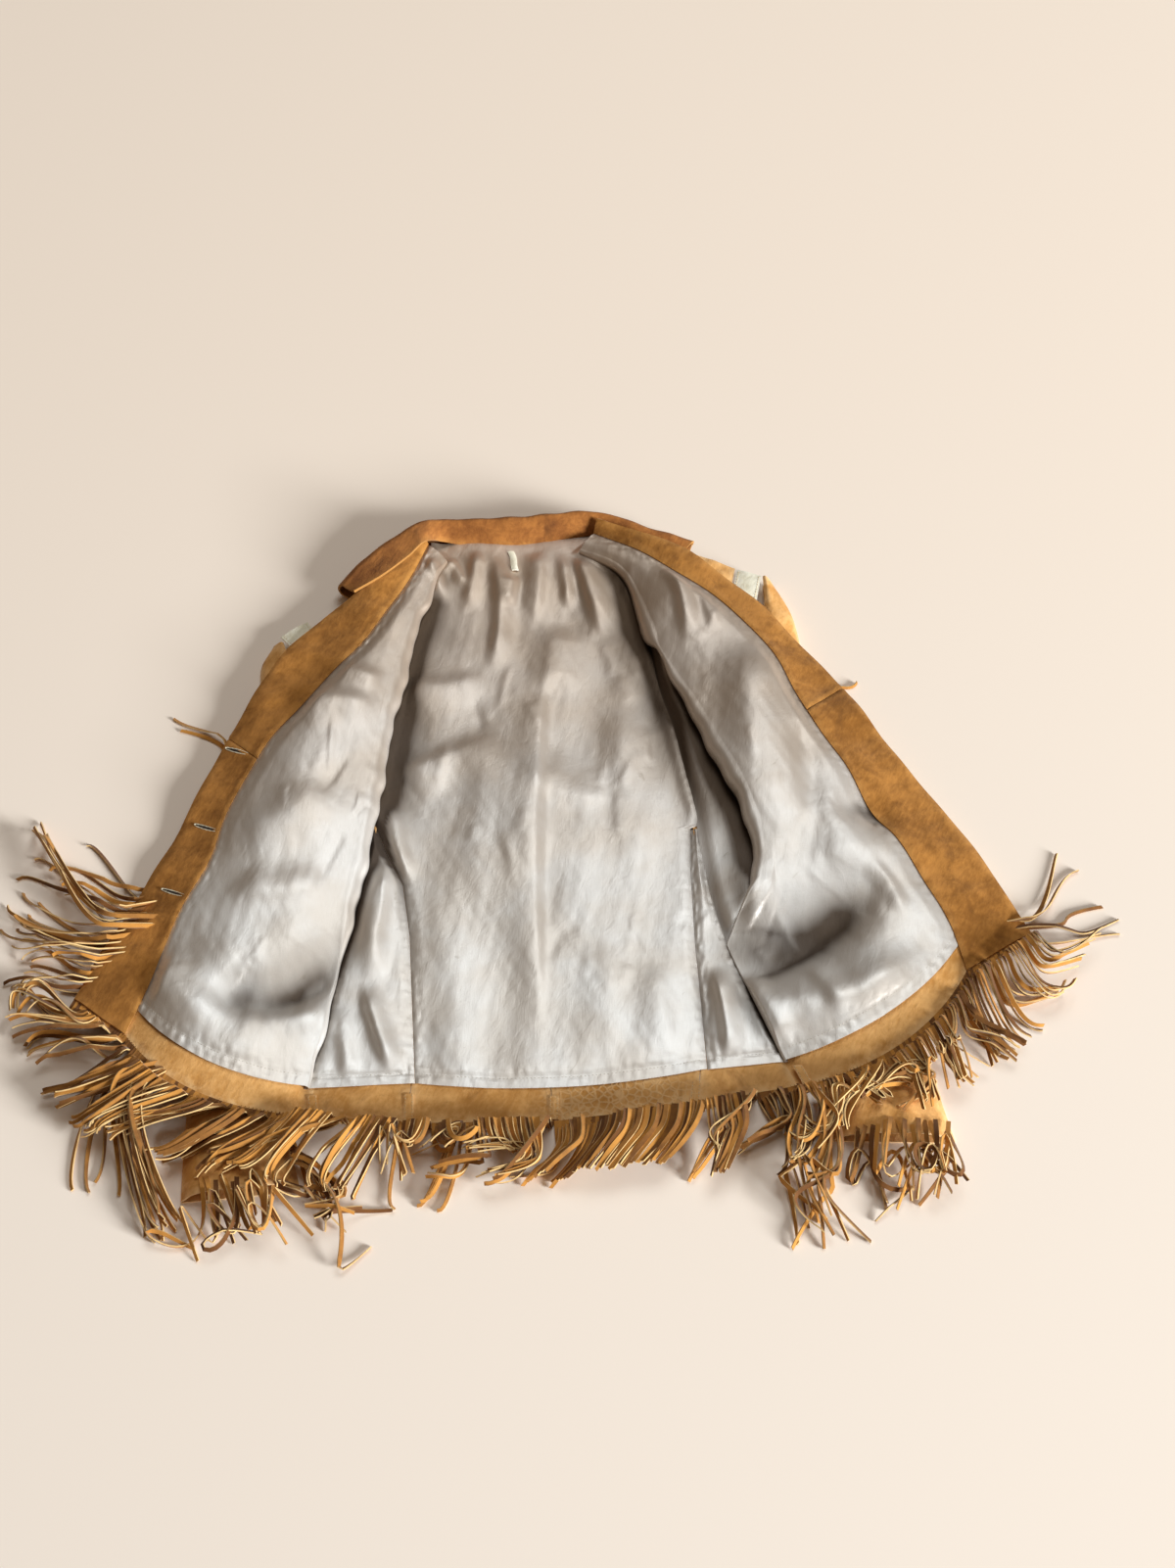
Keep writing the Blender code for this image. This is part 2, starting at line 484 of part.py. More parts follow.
def button(name, spot, normal):
    """Round button hanging under the leather of the left front."""
    axis = normal / np.linalg.norm(normal)
    across = np.cross(axis, (0.0, 1.0, 0.0))
    across /= np.linalg.norm(across)
    along_edge = np.cross(axis, across)
    rings = ((BUTTON_RADIUS * 0.86, 0.0), (BUTTON_RADIUS, 0.9), (BUTTON_RADIUS, 2.5),
             (BUTTON_RADIUS * 0.86, BUTTON_HEIGHT))
    turn = np.linspace(0.0, 2.0 * np.pi, BUTTON_SIDES, endpoint=False)
    points = [spot]
    for radius, depth in rings:
        for angle in turn:
            points.append(spot + axis * -depth
                          + radius * (np.cos(angle) * across + np.sin(angle) * along_edge))
    points.append(spot - axis * BUTTON_HEIGHT)
    faces, count = [], BUTTON_SIDES
    for k in range(count):
        after = (k + 1) % count
        faces.append((0, 1 + k, 1 + after))
        for ring in range(len(rings) - 1):
            a, b = 1 + ring * count + k, 1 + ring * count + after
            faces.append((a, a + count, b + count))
            faces.append((a, b + count, b))
        last = 1 + (len(rings) - 1) * count
        faces.append((len(points) - 1, last + after, last + k))
    return name, np.array(points), faces, HORN


def buttons(front):
    """The buttons of the left front, which face the floor."""
    made = []
    for number, share in enumerate(BUTTON_SHARES, 1):
        row = int(round(share * (LINING_ROWS - 1)))
        edge, inner = front[row, -1], front[row, -2]
        inward = (inner - edge) / np.linalg.norm(inner - edge)
        normal = normals(front)[row, -1]
        made.append(button(f"button_{number}", edge + inward * BUTTON_INSET - normal * 0.4, normal))
    return made


def closed(lower, upper):
    """Points and outward triangles of the body between two lattices."""
    rows, columns = lower.shape[:2]
    count = rows * columns
    points = np.concatenate((lower.reshape(-1, 3), upper.reshape(-1, 3)))

    def at(i, j, level):
        return level * count + i * columns + j

    faces = []
    for i in range(rows - 1):
        for j in range(columns - 1):
            for level, flip in ((0, False), (1, True)):
                a, b = at(i, j, level), at(i + 1, j, level)
                c, d = at(i + 1, j + 1, level), at(i, j + 1, level)
                pair = ((a, b, c), (a, c, d))
                faces += [face[::-1] for face in pair] if flip else list(pair)
    rim = [(i, 0) for i in range(rows)] + [(rows - 1, j) for j in range(1, columns)]
    rim += [(i, columns - 1) for i in range(rows - 2, -1, -1)]
    rim += [(0, j) for j in range(columns - 2, 0, -1)]
    for (i, j), (k, m) in zip(rim, rim[1:] + rim[:1]):
        a, b, c, d = at(i, j, 0), at(k, m, 0), at(k, m, 1), at(i, j, 1)
        faces += [(b, a, d), (b, d, c)]
    corner = points[np.array(faces)]
    volume = np.einsum("ij,ij->i", corner[:, 0], np.cross(corner[:, 1], corner[:, 2])).sum()
    return points, faces if volume > 0 else [face[::-1] for face in faces]


def material(finish, made={}):
    """The Principled material of a finish, made once."""
    if finish not in made:
        shader = bpy.data.materials.new("finish_%d" % len(made))
        shader.use_nodes = True
        node = shader.node_tree.nodes["Principled BSDF"]
        node.inputs["Base Color"].default_value = (*finish.colour, 1.0)
        node.inputs["Roughness"].default_value = finish.roughness
        node.inputs["Metallic"].default_value = finish.metallic
        shader.diffuse_color = (*finish.colour, 1.0)
        made[finish] = shader
    return made[finish]


def add_object(name, points, faces, finish):
    """Adds one closed body to the scene."""
    mesh = bpy.data.meshes.new(name)
    mesh.from_pydata([tuple(p) for p in points], [], [tuple(map(int, f)) for f in faces])
    mesh.materials.append(material(finish))
    mesh.update()
    bpy.context.scene.collection.objects.link(bpy.data.objects.new(name, mesh))


def build_all():
    """Works out every piece in millimetres, centres them and adds them in metres."""
    left, right = front_lattice(LEFT_FRONT), front_lattice(RIGHT_FRONT)
    pieces = front_pieces("left", left) + front_pieces("right", right)
    back_left, back_right = back_half("left", BACK_LEFT_EDGE), back_half("right", BACK_RIGHT_EDGE)
    lining = lining_back(left, right)
    side_left = side_body("left", left, BACK_LEFT_EDGE, LEFT_LINING_SEAM)
    side_right = side_body("right", right, BACK_RIGHT_EDGE, RIGHT_LINING_SEAM)
    arm_left, arm_right = sleeve("left", LEFT_SLEEVE, left), sleeve("right", RIGHT_SLEEVE, right)
    pieces += back_left + back_right + lining + side_left + side_right + arm_left + arm_right
    pieces += collar() + hanger_loop(lining[0])
    pieces += strip("shoulder_left", LEFT_SHOULDER, LEATHER, BUCKSKIN)
    pieces += strip("shoulder_right", RIGHT_SHOULDER, LEATHER, BUCKSKIN)
    pieces += strip("shoulder_band_left", LEFT_BAND, LEATHER, CREAM_HIDE)
    pieces += strip("shoulder_band_right", RIGHT_BAND, LEATHER, CREAM_HIDE)
    cuffs = [arm_left[1][2][-6:], arm_right[1][2][-6:]]
    whole = slice(None)
    pieces += fringe("hem_fringe_front_right", hem_root(right, whole), RIGHT_FRONT_REACH, cuffs)
    pieces += fringe("hem_fringe_side_right", hem_root(side_right[0][1], whole), RIGHT_SIDE_REACH, cuffs)
    pieces += fringe("hem_fringe_back_right", hem_root(back_right[0][1], whole), BACK_RIGHT_REACH, cuffs)
    pieces += fringe("hem_fringe_back_left", hem_root(back_left[0][1], whole), BACK_LEFT_REACH, cuffs)
    pieces += fringe("hem_fringe_side_left", hem_root(side_left[0][1], whole), LEFT_SIDE_REACH, cuffs)
    pieces += fringe("hem_fringe_front_left", hem_root(left, whole), LEFT_FRONT_REACH, cuffs)
    pieces += fringe("sleeve_fringe_right", flat(along(RIGHT_SLEEVE_ROOT, np.linspace(0, 1, 6))),
                     RIGHT_SLEEVE_REACH, cuffs)
    pieces += fringe("sleeve_fringe_left", flat(along(LEFT_SLEEVE_ROOT, np.linspace(0, 1, 5))),
                     LEFT_SLEEVE_REACH, cuffs)
    bodies = [(name, *closed(lower, upper), finish) for name, lower, upper, finish in pieces]
    bodies += buttons(left)
    every = np.concatenate([points for _, points, _, _ in bodies])
    middle = (every.min(axis=0) + every.max(axis=0)) / 2.0
    shift = np.array((middle[0], middle[1], every.min(axis=0)[2]))
    print("shift", shift, "size", every.max(axis=0) - every.min(axis=0))
    for name, points, faces, finish in bodies:
        add_object(name, (points - shift) * MM, faces, finish)


for leftover in list(bpy.data.objects):
    bpy.data.objects.remove(leftover)
build_all()
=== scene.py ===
"""Fringed buckskin jacket thrown open on its back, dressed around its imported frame.

The collar is at +Y and the hem at -Y.  "left" and "right" are the wearer's, so the right
front lies at -X.  Pattern tables are in millimetres on the cutting table's own plan, and
Pattern carries the finished points to the frame's metres.  Every hide and lining piece is a
lattice of middle points, rows down the jacket and columns across it, closed into a wall.
"""

import logging
import math
from collections import namedtuple
from dataclasses import dataclass
from enum import Enum
from typing import Any, Callable, Iterable, Optional, Sequence, Union

import bpy
import numpy as np
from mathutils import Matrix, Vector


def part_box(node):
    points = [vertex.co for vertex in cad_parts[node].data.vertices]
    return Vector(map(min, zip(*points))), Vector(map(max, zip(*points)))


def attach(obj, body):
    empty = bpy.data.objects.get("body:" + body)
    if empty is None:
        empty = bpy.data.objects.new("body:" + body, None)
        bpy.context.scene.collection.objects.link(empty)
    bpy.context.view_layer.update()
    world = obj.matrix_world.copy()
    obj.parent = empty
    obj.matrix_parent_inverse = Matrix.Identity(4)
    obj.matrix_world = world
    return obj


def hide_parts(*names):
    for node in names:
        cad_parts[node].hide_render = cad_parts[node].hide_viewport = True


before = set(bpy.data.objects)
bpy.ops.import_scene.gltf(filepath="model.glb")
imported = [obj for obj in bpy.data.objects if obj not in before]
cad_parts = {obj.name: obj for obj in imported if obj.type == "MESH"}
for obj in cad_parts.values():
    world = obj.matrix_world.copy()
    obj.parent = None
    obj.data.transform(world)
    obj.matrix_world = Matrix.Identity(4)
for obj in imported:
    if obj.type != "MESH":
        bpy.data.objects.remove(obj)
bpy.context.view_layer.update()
LOG = logging.getLogger("jacket")
Array = np.ndarray
MM = 0.001
UP = np.array((0.0, 0.0, 1.0))
WALL_CREASE, STRAND_CREASE = 52.0, 35.0      # degrees from which an edge stays crisp
# A stitch's rings: place along it, size and rise, as shares of its length and of its radius.
STITCH_RINGS = ((-0.5, 0.25, -0.5), (-0.3, 0.9, 0.25), (0.0, 1.0, 0.45), (0.3, 0.9, 0.25),
                (0.5, 0.25, -0.5))
STITCH_SIDES = 6


def tabled(kind: Callable, rows: Sequence) -> tuple:
    """Named rows from plain ones."""
    return tuple(kind(*row) for row in rows)


# ======== sizes of the cut, millimetres
LEATHER, LINING, FACING, COLLAR = 1.4, 0.5, 1.2, 2.5
GAP = 0.45                                   # air between two layers that lie on each other
STACK = LEATHER + GAP + FACING               # section heights are of the top face of the stack
LINING_LIFT = LEATHER + GAP + 0.5            # middle of the lining above the hide's lower face
HEM_BAND, HEM_BOW, SEWN_LINING, HEM_TURN = 0.042, 23.0, 0.3, 10.0
NARROW_FRONT, FULL_FRONT = 26.0, 60.0        # widths below which the climb and the swell shrink
FRONT_BULGE, HEM_BULGE = 3.0, 8.5
NECK_RISE, NECK_RISE_FROM, NECK_RISE_LENGTH, ROOT_REACH = 4.6, 175.0, 75.0, 10.0
UNDERARM_Y, FLOOR_Y, SIDE_TOP_Y = -60.0, -112.0, -54.0

Section = namedtuple("Section", "fold_x fold_y fold_z face_x face_y face_z edge_x edge_y edge_z")
LEFT_FRONT = tabled(Section, (
    (-7, 268, 13, 6, 286, 18, 9, 294, 30), (30, 240, 16, 43, 260, 26, 53, 274, 32),
    (46, 199, 18, 78, 231, 28, 93, 253, 30), (56, 153, 19, 114, 201, 28, 127, 221, 28),
    (64, 106, 20, 143, 166, 28, 160, 189, 26), (76, 59, 20, 168, 128, 28, 187, 152, 22),
    (85, 11, 19, 185, 85, 26, 215, 116, 19), (94, -37, 16, 204, 43, 25, 240, 77, 17),
    (99, -85, 14, 226, 3, 23, 262, 37, 15), (106, -133, 11, 243, -39, 20, 286, -3, 13),
    (118, -180, 9, 267, -78, 20, 310, -41, 11), (135, -225, 7, 286, -120, 18, 333, -81, 10),
    (152, -270, 6, 304, -162, 16, 353, -123, 9), (171, -315, 5, 314, -207, 13, 373, -164, 7)))
RIGHT_FRONT = tabled(Section, (
    (-132, 256, 13, -149, 272, 18, -155, 280, 26), (-146, 216, 16, -163, 230, 20, -182, 246, 26),
    (-158, 172, 18, -183, 188, 21, -210, 210, 22), (-167, 127, 19, -204, 147, 22, -241, 177, 20),
    (-174, 80, 20, -230, 111, 22, -271, 143, 18), (-180, 33, 20, -254, 72, 22, -292, 103, 16),
    (-185, -14, 19, -279, 34, 22, -309, 62, 15), (-188, -61, 18, -298, -8, 19, -325, 20, 13),
    (-195, -108, 16, -313, -51, 18, -340, -23, 12), (-201, -155, 14, -322, -96, 17, -354, -65, 10),
    (-207, -202, 12, -339, -138, 16, -372, -107, 8), (-214, -249, 9, -352, -181, 14, -389, -149, 7),
    (-222, -295, 7, -363, -226, 13, -408, -190, 8), (-230, -342, 6, -377, -269, 11, -423, -232, 7)))

# Where the left front's lining hangs over a hollow beside its fold: how far out its lip stands,
# and how much of its height the hide keeps in the hollow.
Hollow = namedtuple("Hollow", "share over keep")
LEFT_HOLLOW = tabled(Hollow, (
    (0.0, 0, 1.0), (0.2, 0, 1.0), (0.25, 5, 0.8), (0.308, 12, 0.5), (0.385, 20, 0.3), (0.462, 29, 0.2),
    (0.538, 39, 0.15), (0.615, 49, 0.15), (0.665, 48, 0.2), (0.70, 38, 0.35), (0.735, 14, 0.7),
    (0.76, 0, 1.0), (1.0, 0, 1.0)))
RIGHT_HOLLOW = tabled(Hollow, ((0.0, 0, 1.0), (1.0, 0, 1.0)))

Point = namedtuple("Point", "x y")
BACK_CENTRE = tabled(Point, (
    (-73, 269), (-60, 100), (-45, -120), (-27, -346)))
BACK_RIGHT_EDGE = tabled(Point, (
    (-140, 270), (-246, 178), (-222, 120), (-204, 70), (-191, 10), (-186, -40), (-158, -112),
    (-147, -200), (-141, -300), (-145, -348)))
BACK_LEFT_EDGE = tabled(Point, (
    (-6, 277), (156, 222), (140, 150), (122, 80), (104, 10), (88, -50), (88, -88), (90, -171), (95, -260),
    (88, -330)))
LINING_TOP = tabled(Point, ((-143, 281), (-5, 292)))
LINING_HEM = tabled(Point, ((-139, -311), (97, -297)))
LINING_SAG_TOP, LINING_SAG_HEM = -2.5, -11.0
RIGHT_LINING_SEAM = tabled(Point, (
    (-187, -40), (-173, -76), (-157, -112), (-149, -165), (-146, -210), (-139, -311)))
LEFT_LINING_SEAM = tabled(Point, (
    (89, -50), (88, -88), (90, -171), (94, -239), (97, -298)))

Arm = namedtuple("Arm", "inner_x inner_y outer_x outer_y crown inner_rise")
LEFT_SLEEVE = tabled(Arm, (
    (163, 235, 172, 232, 4, 11), (163, 200, 187, 198, 6, 10), (155, 160, 194, 158, 9, 5),
    (132, 105, 203, 104, 11, 0), (118, 50, 212, 50, 13, 0), (109, 0, 221, 0, 13, 0),
    (116, -60, 232, -60, 13, 0), (136, -140, 248, -140, 12, 0), (162, -215, 262, -215, 10, 0),
    (186, -280, 274, -276, 7, 0), (196, -332, 284, -328, 10, 0), (196, -364, 292, -366, 13, 0)))
RIGHT_SLEEVE = tabled(Arm, (
    (-277, 154, -287, 154, 3, 10), (-268, 135, -295, 133, 5, 8), (-236, 105, -294, 104, 9, 0),
    (-215, 55, -294, 55, 10, 0), (-203, 10, -298, 10, 11, 0), (-200, -40, -303, -40, 11, 0),
    (-205, -110, -309, -110, 11, 0), (-215, -180, -314, -180, 10, 0), (-230, -250, -320, -250, 8, 0),
    (-246, -320, -321, -312, 5, 0), (-236, -372, -320, -376, 10, 0), (-226, -410, -318, -420, 13, 0)))

Roll = namedtuple("Roll", "seam_x seam_y seam_z roll_x roll_y roll_z edge_x edge_y edge_z")
COLLAR_ROWS = tabled(Roll, (
    (-214, 206, 24.5, -225, 217, 20, -219, 213, 7), (-189, 224, 27, -205, 244, 25, -197, 236, 8),
    (-166, 246, 29, -179, 267, 29, -168, 261, 8), (-151, 264, 30, -156, 285, 32, -150, 268, 4),
    (-136, 279, 14, -136, 292, 28, -134, 266, 1.8), (-115, 281, 8, -117, 293, 27, -115, 262, 1.8),
    (-74, 280, 8, -73, 294, 29, -74, 260, 1.8), (-37, 284, 8, -37, 297, 30, -37, 264, 1.8),
    (-8, 290, 9, -4, 301, 30, -6, 272, 1.8), (18, 291, 13, 24, 299, 27, 22, 282, 4),
    (44, 282, 15, 50, 290, 22, 48, 278, 9), (72, 274, 14, 76, 282, 19, 75, 272, 11),
    (92, 270, 13, 97, 275, 16, 96, 270, 12)))

Strip = namedtuple("Strip", "far_x far_y near_x near_y low_z")
LEFT_SHOULDER = tabled(Strip, ((70, 261, 66, 236, 12), (95, 262, 90, 222, 14), (116, 254, 112, 206, 14),
    (137, 245, 127, 190, 12)))
RIGHT_SHOULDER = tabled(Strip, ((-214, 203, -200, 190, 7), (-230, 188, -214, 172, 9),
    (-246, 173, -228, 156, 9)))
LEFT_BAND = tabled(Strip, ((139, 243, 129, 188, 12.5), (150, 239, 140, 186, 13.5), (161, 235, 152, 184, 13)))
RIGHT_BAND = tabled(Strip, ((-256, 179, -240, 150, 11.5), (-268, 170, -250, 141, 12.5),
    (-279, 160, -262, 136, 12.5)))
LOOP_POINTS = tabled(Point, ((-72, 270), (-70, 259), (-66, 246)))

# ======== creases of the lining
Crease = namedtuple("Crease", "x0 y0 x1 y1 x2 y2 height left right")
CREASES = tabled(Crease, (
    (-88, 268, -80, 200, -87, 118, 5.5, 12, 7), (-68, 242, -70, 222, -73, 200, 4.0, 5, 8),
    (-104, 272, -106, 240, -112, 190, 3.0, 8, 6), (-48, 272, -46, 236, -52, 176, 3.4, 7, 11),
    (-8, 266, 0, 226, 16, 165, 6.5, 14, 6), (-24, 270, -20, 230, -16, 196, 3.2, 7, 5),
    (-21, 186, -30, 142, -36, 96, 3.4, 22, 14), (-152, 252, -140, 236, -132, 205, 3.6, 7, 5),
    (-130, 262, -122, 246, -112, 222, 3.0, 5, 7), (-30, 41, -36, -30, -33, -112, 2.6, 26, 40),
    (-36, 140, -46, -40, -38, -306, 5.0, 7, 22), (30, 90, 36, 0, 44, -110, 3.0, 30, 16),
    (-84, 60, -92, -40, -80, -190, 3.2, 30, 20), (-168, 112, -130, 106, -88, 124, 3.6, 12, 20),
    (-168, 6, -128, 22, -78, 52, 4.2, 12, 24), (-60, 20, -20, -14, 20, -10, 2.4, 20, 12),
    (-172, -24, -164, -66, -152, -112, 3.2, 8, 6), (-110, -150, -116, -230, -112, -300, 1.6, 16, 22),
    (10, -170, 16, -230, 20, -298, 1.5, 14, 18), (58, -190, 60, -240, 70, -292, 1.8, 9, 14),
    (-262, 64, -224, 72, -182, 58, 5.0, 13, 20), (-222, 112, -204, 104, -180, 96, 3.4, 9, 14),
    (-304, -74, -258, -56, -222, -10, 4.6, 22, 30), (-300, -120, -262, -132, -216, -112, 4.2, 20, 14),
    (-352, -180, -336, -236, -262, -250, 6.0, 20, 16), (-300, -246, -252, -254, -206, -244, 5.0, 16, 16),
    (-186, -212, -172, -262, -156, -306, 5.5, 11, 5), (-171, -90, -178, -150, -178, -216, 5.0, 9, 13),
    (-204, -238, -198, -276, -192, -322, 3.2, 9, 6), (64, 240, 84, 204, 90, 130, 6.5, 12, 6),
    (96, 214, 108, 186, 114, 150, 3.2, 9, 6), (126, -80, 138, -130, 140, -168, 5.5, 15, 10),
    (120, -228, 200, -242, 290, -188, 7.0, 20, 28), (184, 50, 192, -10, 196, -76, -3.4, 12, 12),
    (104, -196, 112, -244, 116, -296, 6.0, 12, 5), (128, -204, 146, -246, 162, -292, 6.0, 12, 5),
    (176, -196, 196, -226, 210, -262, 3.6, 12, 7), (138, 150, 150, 30, 152, -96, 8.0, 42, 28),
    (190, -20, 214, -66, 224, -118, 3.4, 18, 26), (236, -96, 256, -128, 262, -160, 2.6, 6, 9)))

# Sunken dips of the fronts themselves, hide and lining together; where they are deepest the lining also gets
# painted shade.
DIPS = tabled(Crease, ((98, -146, 172, -182, 258, -92, -15.0, 40, 28),
    (206, -58, 236, -44, 268, -70, -4.0, 14, 16), (-326, -214, -254, -240, -192, -150, -11.0, 32, 20)))

# ======== the fringe
STRAND_WIDTH, STRAND_THICKNESS, HEM_LENGTH, SLEEVE_LENGTH = 3.7, 1.1, 86.0, 138.0


class Side(Enum):
    """Side of the wearer that a piece belongs to; the value is the sign of its x."""

    LEFT = 1
    RIGHT = -1

    @property
    def word(self) -> str:
        """The side's name in lower case."""
        return self.name.lower()


BACK_EDGES = {Side.LEFT: BACK_LEFT_EDGE, Side.RIGHT: BACK_RIGHT_EDGE}
LINING_SEAMS = {Side.LEFT: LEFT_LINING_SEAM, Side.RIGHT: RIGHT_LINING_SEAM}
NECK_REACH = {Side.LEFT: 17.0, Side.RIGHT: 14.0}    # how far the back lining runs on at the neck
LINING_TUCK, BACK_LINING_LENGTH = 0.5, 575.0


class Slot(Enum):
    """The record's material slots."""

    BUCKSKIN = "buckskin"
    COLLAR = "collar_hide"
    CREAM = "cream_hide"
    FRINGE = "fringe_hide"
    SATIN = "satin_lining"
    HORN = "horn"


# ======== shader writing
class Value:
    """A shader socket that plain arithmetic can be written on."""

    def __init__(self, recipe: "Recipe", socket: bpy.types.NodeSocket) -> None:
        """Wraps an output socket of a recipe."""
        self.recipe, self.socket = recipe, socket

    def _math(self, operation: str, *inputs: Any) -> "Value":
        """The result of one Math node."""
        return self.recipe.node("ShaderNodeMath", {"operation": operation}, dict(enumerate(inputs)))

    def __add__(self, other: Any) -> "Value":
        """This plus another value."""
        return self._math("ADD", self, other)

    def __mul__(self, other: Any) -> "Value":
        """This times another value."""
        return self._math("MULTIPLY", self, other)

    def __sub__(self, other: Any) -> "Value":
        """This less another value."""
        return self._math("SUBTRACT", self, other)

    def __rsub__(self, other: Any) -> "Value":
        """Another value less this."""
        return self._math("SUBTRACT", other, self)

    __radd__, __rmul__ = __add__, __mul__

    def step(self, low: float, high: float) -> "Value":
        """A soft step between 0 at low and 1 at high, which may lie below low."""
        return self.recipe.node("ShaderNodeMapRange", {"interpolation_type": "SMOOTHSTEP"},
                                {"Value": self, "From Min": low, "From Max": high})


class Recipe:
    """One material being written: its node tree and its Principled shader."""

    def __init__(self, name: str) -> None:
        """Starts an empty material of that name."""
        self.material = bpy.data.materials.new(name)
        self.material.use_nodes = True
        self.tree = self.material.node_tree
        self.shader = self.tree.nodes["Principled BSDF"]
        self.place = self.node("ShaderNodeTexCoord", output="Object")

    def node(self, kind: str, settings: Optional[dict] = None, inputs: Optional[dict] = None,
             output: Union[int, str] = 0) -> Value:
        """Adds any node: its settings first, then its sockets.

        Args:
            kind: the node's type.
            settings: attributes to set on the node.
            inputs: socket name or number to a value, a colour or a Value.
            output: which output is wanted.

        Returns:
            The wanted output.
        """
        made = self.tree.nodes.new(kind)
        for key, value in (settings or {}).items():
            setattr(made, key, value)
        for key, value in (inputs or {}).items():
            self.feed(made.inputs[key], value)
        return Value(self, made.outputs[output])

    def feed(self, socket: bpy.types.NodeSocket, value: Any) -> None:
        """Links a Value to a socket, or sets the socket's own number or colour."""
        if isinstance(value, Value):
            self.tree.links.new(value.socket, socket)
        else:
            socket.default_value = value

    def set(self, **sockets: Any) -> None:
        """Sets or feeds sockets of the shader; an underscore stands for a space."""
        for key, value in sockets.items():
            self.feed(self.shader.inputs[key.replace("_", " ")], value)

    def mix(self, factor: Any, first: Any, second: Any) -> Value:
        """The first colour with a share of the second laid over it."""
        return self.node("ShaderNodeMix", {"data_type": "RGBA"}, {0: factor, 6: first, 7: second}, 2)

    def vector(self, operation: str, first: Any, second: Any, output: Union[int, str] = 0) -> Value:
        """The result of one Vector Math node."""
        return self.node("ShaderNodeVectorMath", {"operation": operation}, {0: first, 1: second}, output)

    def stretched(self, x: float, y: float, z: float, turn: float = 0.0) -> Value:
        """The place on the jacket, turned about Z by degrees and then scaled along each axis."""
        turned = self.node("ShaderNodeVectorRotate", {"rotation_type": "Z_AXIS"},
                           {"Vector": self.place, "Angle": math.radians(turn)})
        return self.vector("MULTIPLY", turned, (x, y, z))

    def noise(self, scale: float, detail: float = 2.0, roughness: float = 0.5,
              where: Optional[Value] = None, distortion: float = 0.0) -> Value:
        """Soft noise about 0.5, with so many cells in a metre."""
        return self.node("ShaderNodeTexNoise", None,
                         {"Vector": where or self.place, "Scale": scale, "Detail": detail,
                          "Roughness": roughness, "Distortion": distortion})

    def attribute(self, name: str) -> Value:
        """A number stored on the mesh under that name."""
        return self.node("ShaderNodeAttribute", {"attribute_name": name}, None, "Fac")

    def up(self) -> Value:
        """How far up the jacket a place is, in metres."""
        return self.node("ShaderNodeSeparateXYZ", None, {0: self.place}, "Y")

    def bump(self, height: Value, distance: float) -> Value:
        """A normal from a height of 0 to 1 that stands for so many metres."""
        return self.node("ShaderNodeBump", None, {"Height": height, "Distance": distance, "Strength": 1.0})


def dye(code: int) -> tuple:
    """The linear colour, with full alpha, of a display code such as 0xB07832."""
    parts = [((code >> shift) & 255) / 255.0 for shift in (16, 8, 0)]
    return (*[p / 12.92 if p <= 0.04045 else ((p + 0.055) / 1.055) ** 2.4 for p in parts], 1.0)


DYED: dict = {}                              # each finish's material, once it is written


@dataclass(frozen=True)
class Finish:
    """A finish that some pieces share: its name, its slot and its first two dyes."""

    name: str
    slot: Optional[Slot]
    pale: int
    deep: int

    def make(self) -> bpy.types.Material:
        """The material, written when it is first asked for.

        Returns:
            The material.
        """
        if self not in DYED:
            recipe = Recipe(self.name)
            self.write(recipe)
            recipe.material.diffuse_color = dye(self.pale)
            DYED[self] = recipe.material
        return DYED[self]

    def write(self, r: Recipe) -> None:
        """Writes the finish's own nodes into its recipe."""


@dataclass(frozen=True)
class Hide(Finish):
    """A suede or smooth hide: its stain, nap and the paler colour of its cut edge."""

    stain: int
    cut: int
    nap: float = 0.0006
    staining: float = 0.5
    crackled: bool = False
    roughness: float = 0.88
    sheen: float = 0.1

    def write(self, r: Recipe) -> None:
        """Writes clouds of tone, stains, worn edges, and veins where the hide is crackled.

        Args:
            r: the material's recipe.
        """
        cloud, mottle = r.noise(11.0, 3.0, 0.55), r.noise(70.0, 4.0, 0.6, distortion=0.4)
        nap = r.noise(300.0, 3.0, 0.6, r.stretched(1.0, 0.38, 1.0, 24.0))
        fine = r.noise(1500.0, 2.0, 0.6)
        tone = (cloud * 0.45 + mottle * 0.33 + nap * 0.22).step(0.38, 0.64)
        colour = r.mix(tone, dye(self.deep), dye(self.pale))
        smudge = r.noise(26.0, 4.0, 0.65, distortion=1.2).step(0.55, 0.74) * self.staining
        colour = r.mix(smudge, colour, dye(self.stain))
        colour = r.mix(fine.step(0.56, 0.78) * 0.28, colour, dye(self.deep))
        worn = r.attribute("rim") * mottle.step(0.32, 0.66) * 0.55
        colour = r.mix(worn, colour, dye(self.cut))
        height = nap * 0.55 + mottle * 0.7 + fine * 0.25
        if self.crackled:
            cells = r.node("ShaderNodeTexVoronoi", {"feature": "DISTANCE_TO_EDGE"},
                           {"Vector": r.place, "Scale": 170.0})
            away = r.vector("DISTANCE", r.stretched(1.0, CRACKLE_WIDENING, 0.0), CRACKLE_CENTRE, "Value")
            vein = (1.0 - cells.step(0.0, 0.2)) * away.step(*CRACKLE_REACH)
            colour = r.mix(vein * 0.45, colour, dye(self.cut))
            height = height + vein * 0.4
        colour = r.mix(r.attribute("cut"), colour, dye(self.cut))
        r.set(Base_Color=colour, Roughness=self.roughness + (mottle - 0.5) * 0.16,
              Sheen_Weight=self.sheen, Sheen_Roughness=0.5, Specular_IOR_Level=0.25,
              Normal=r.bump(height, self.nap))


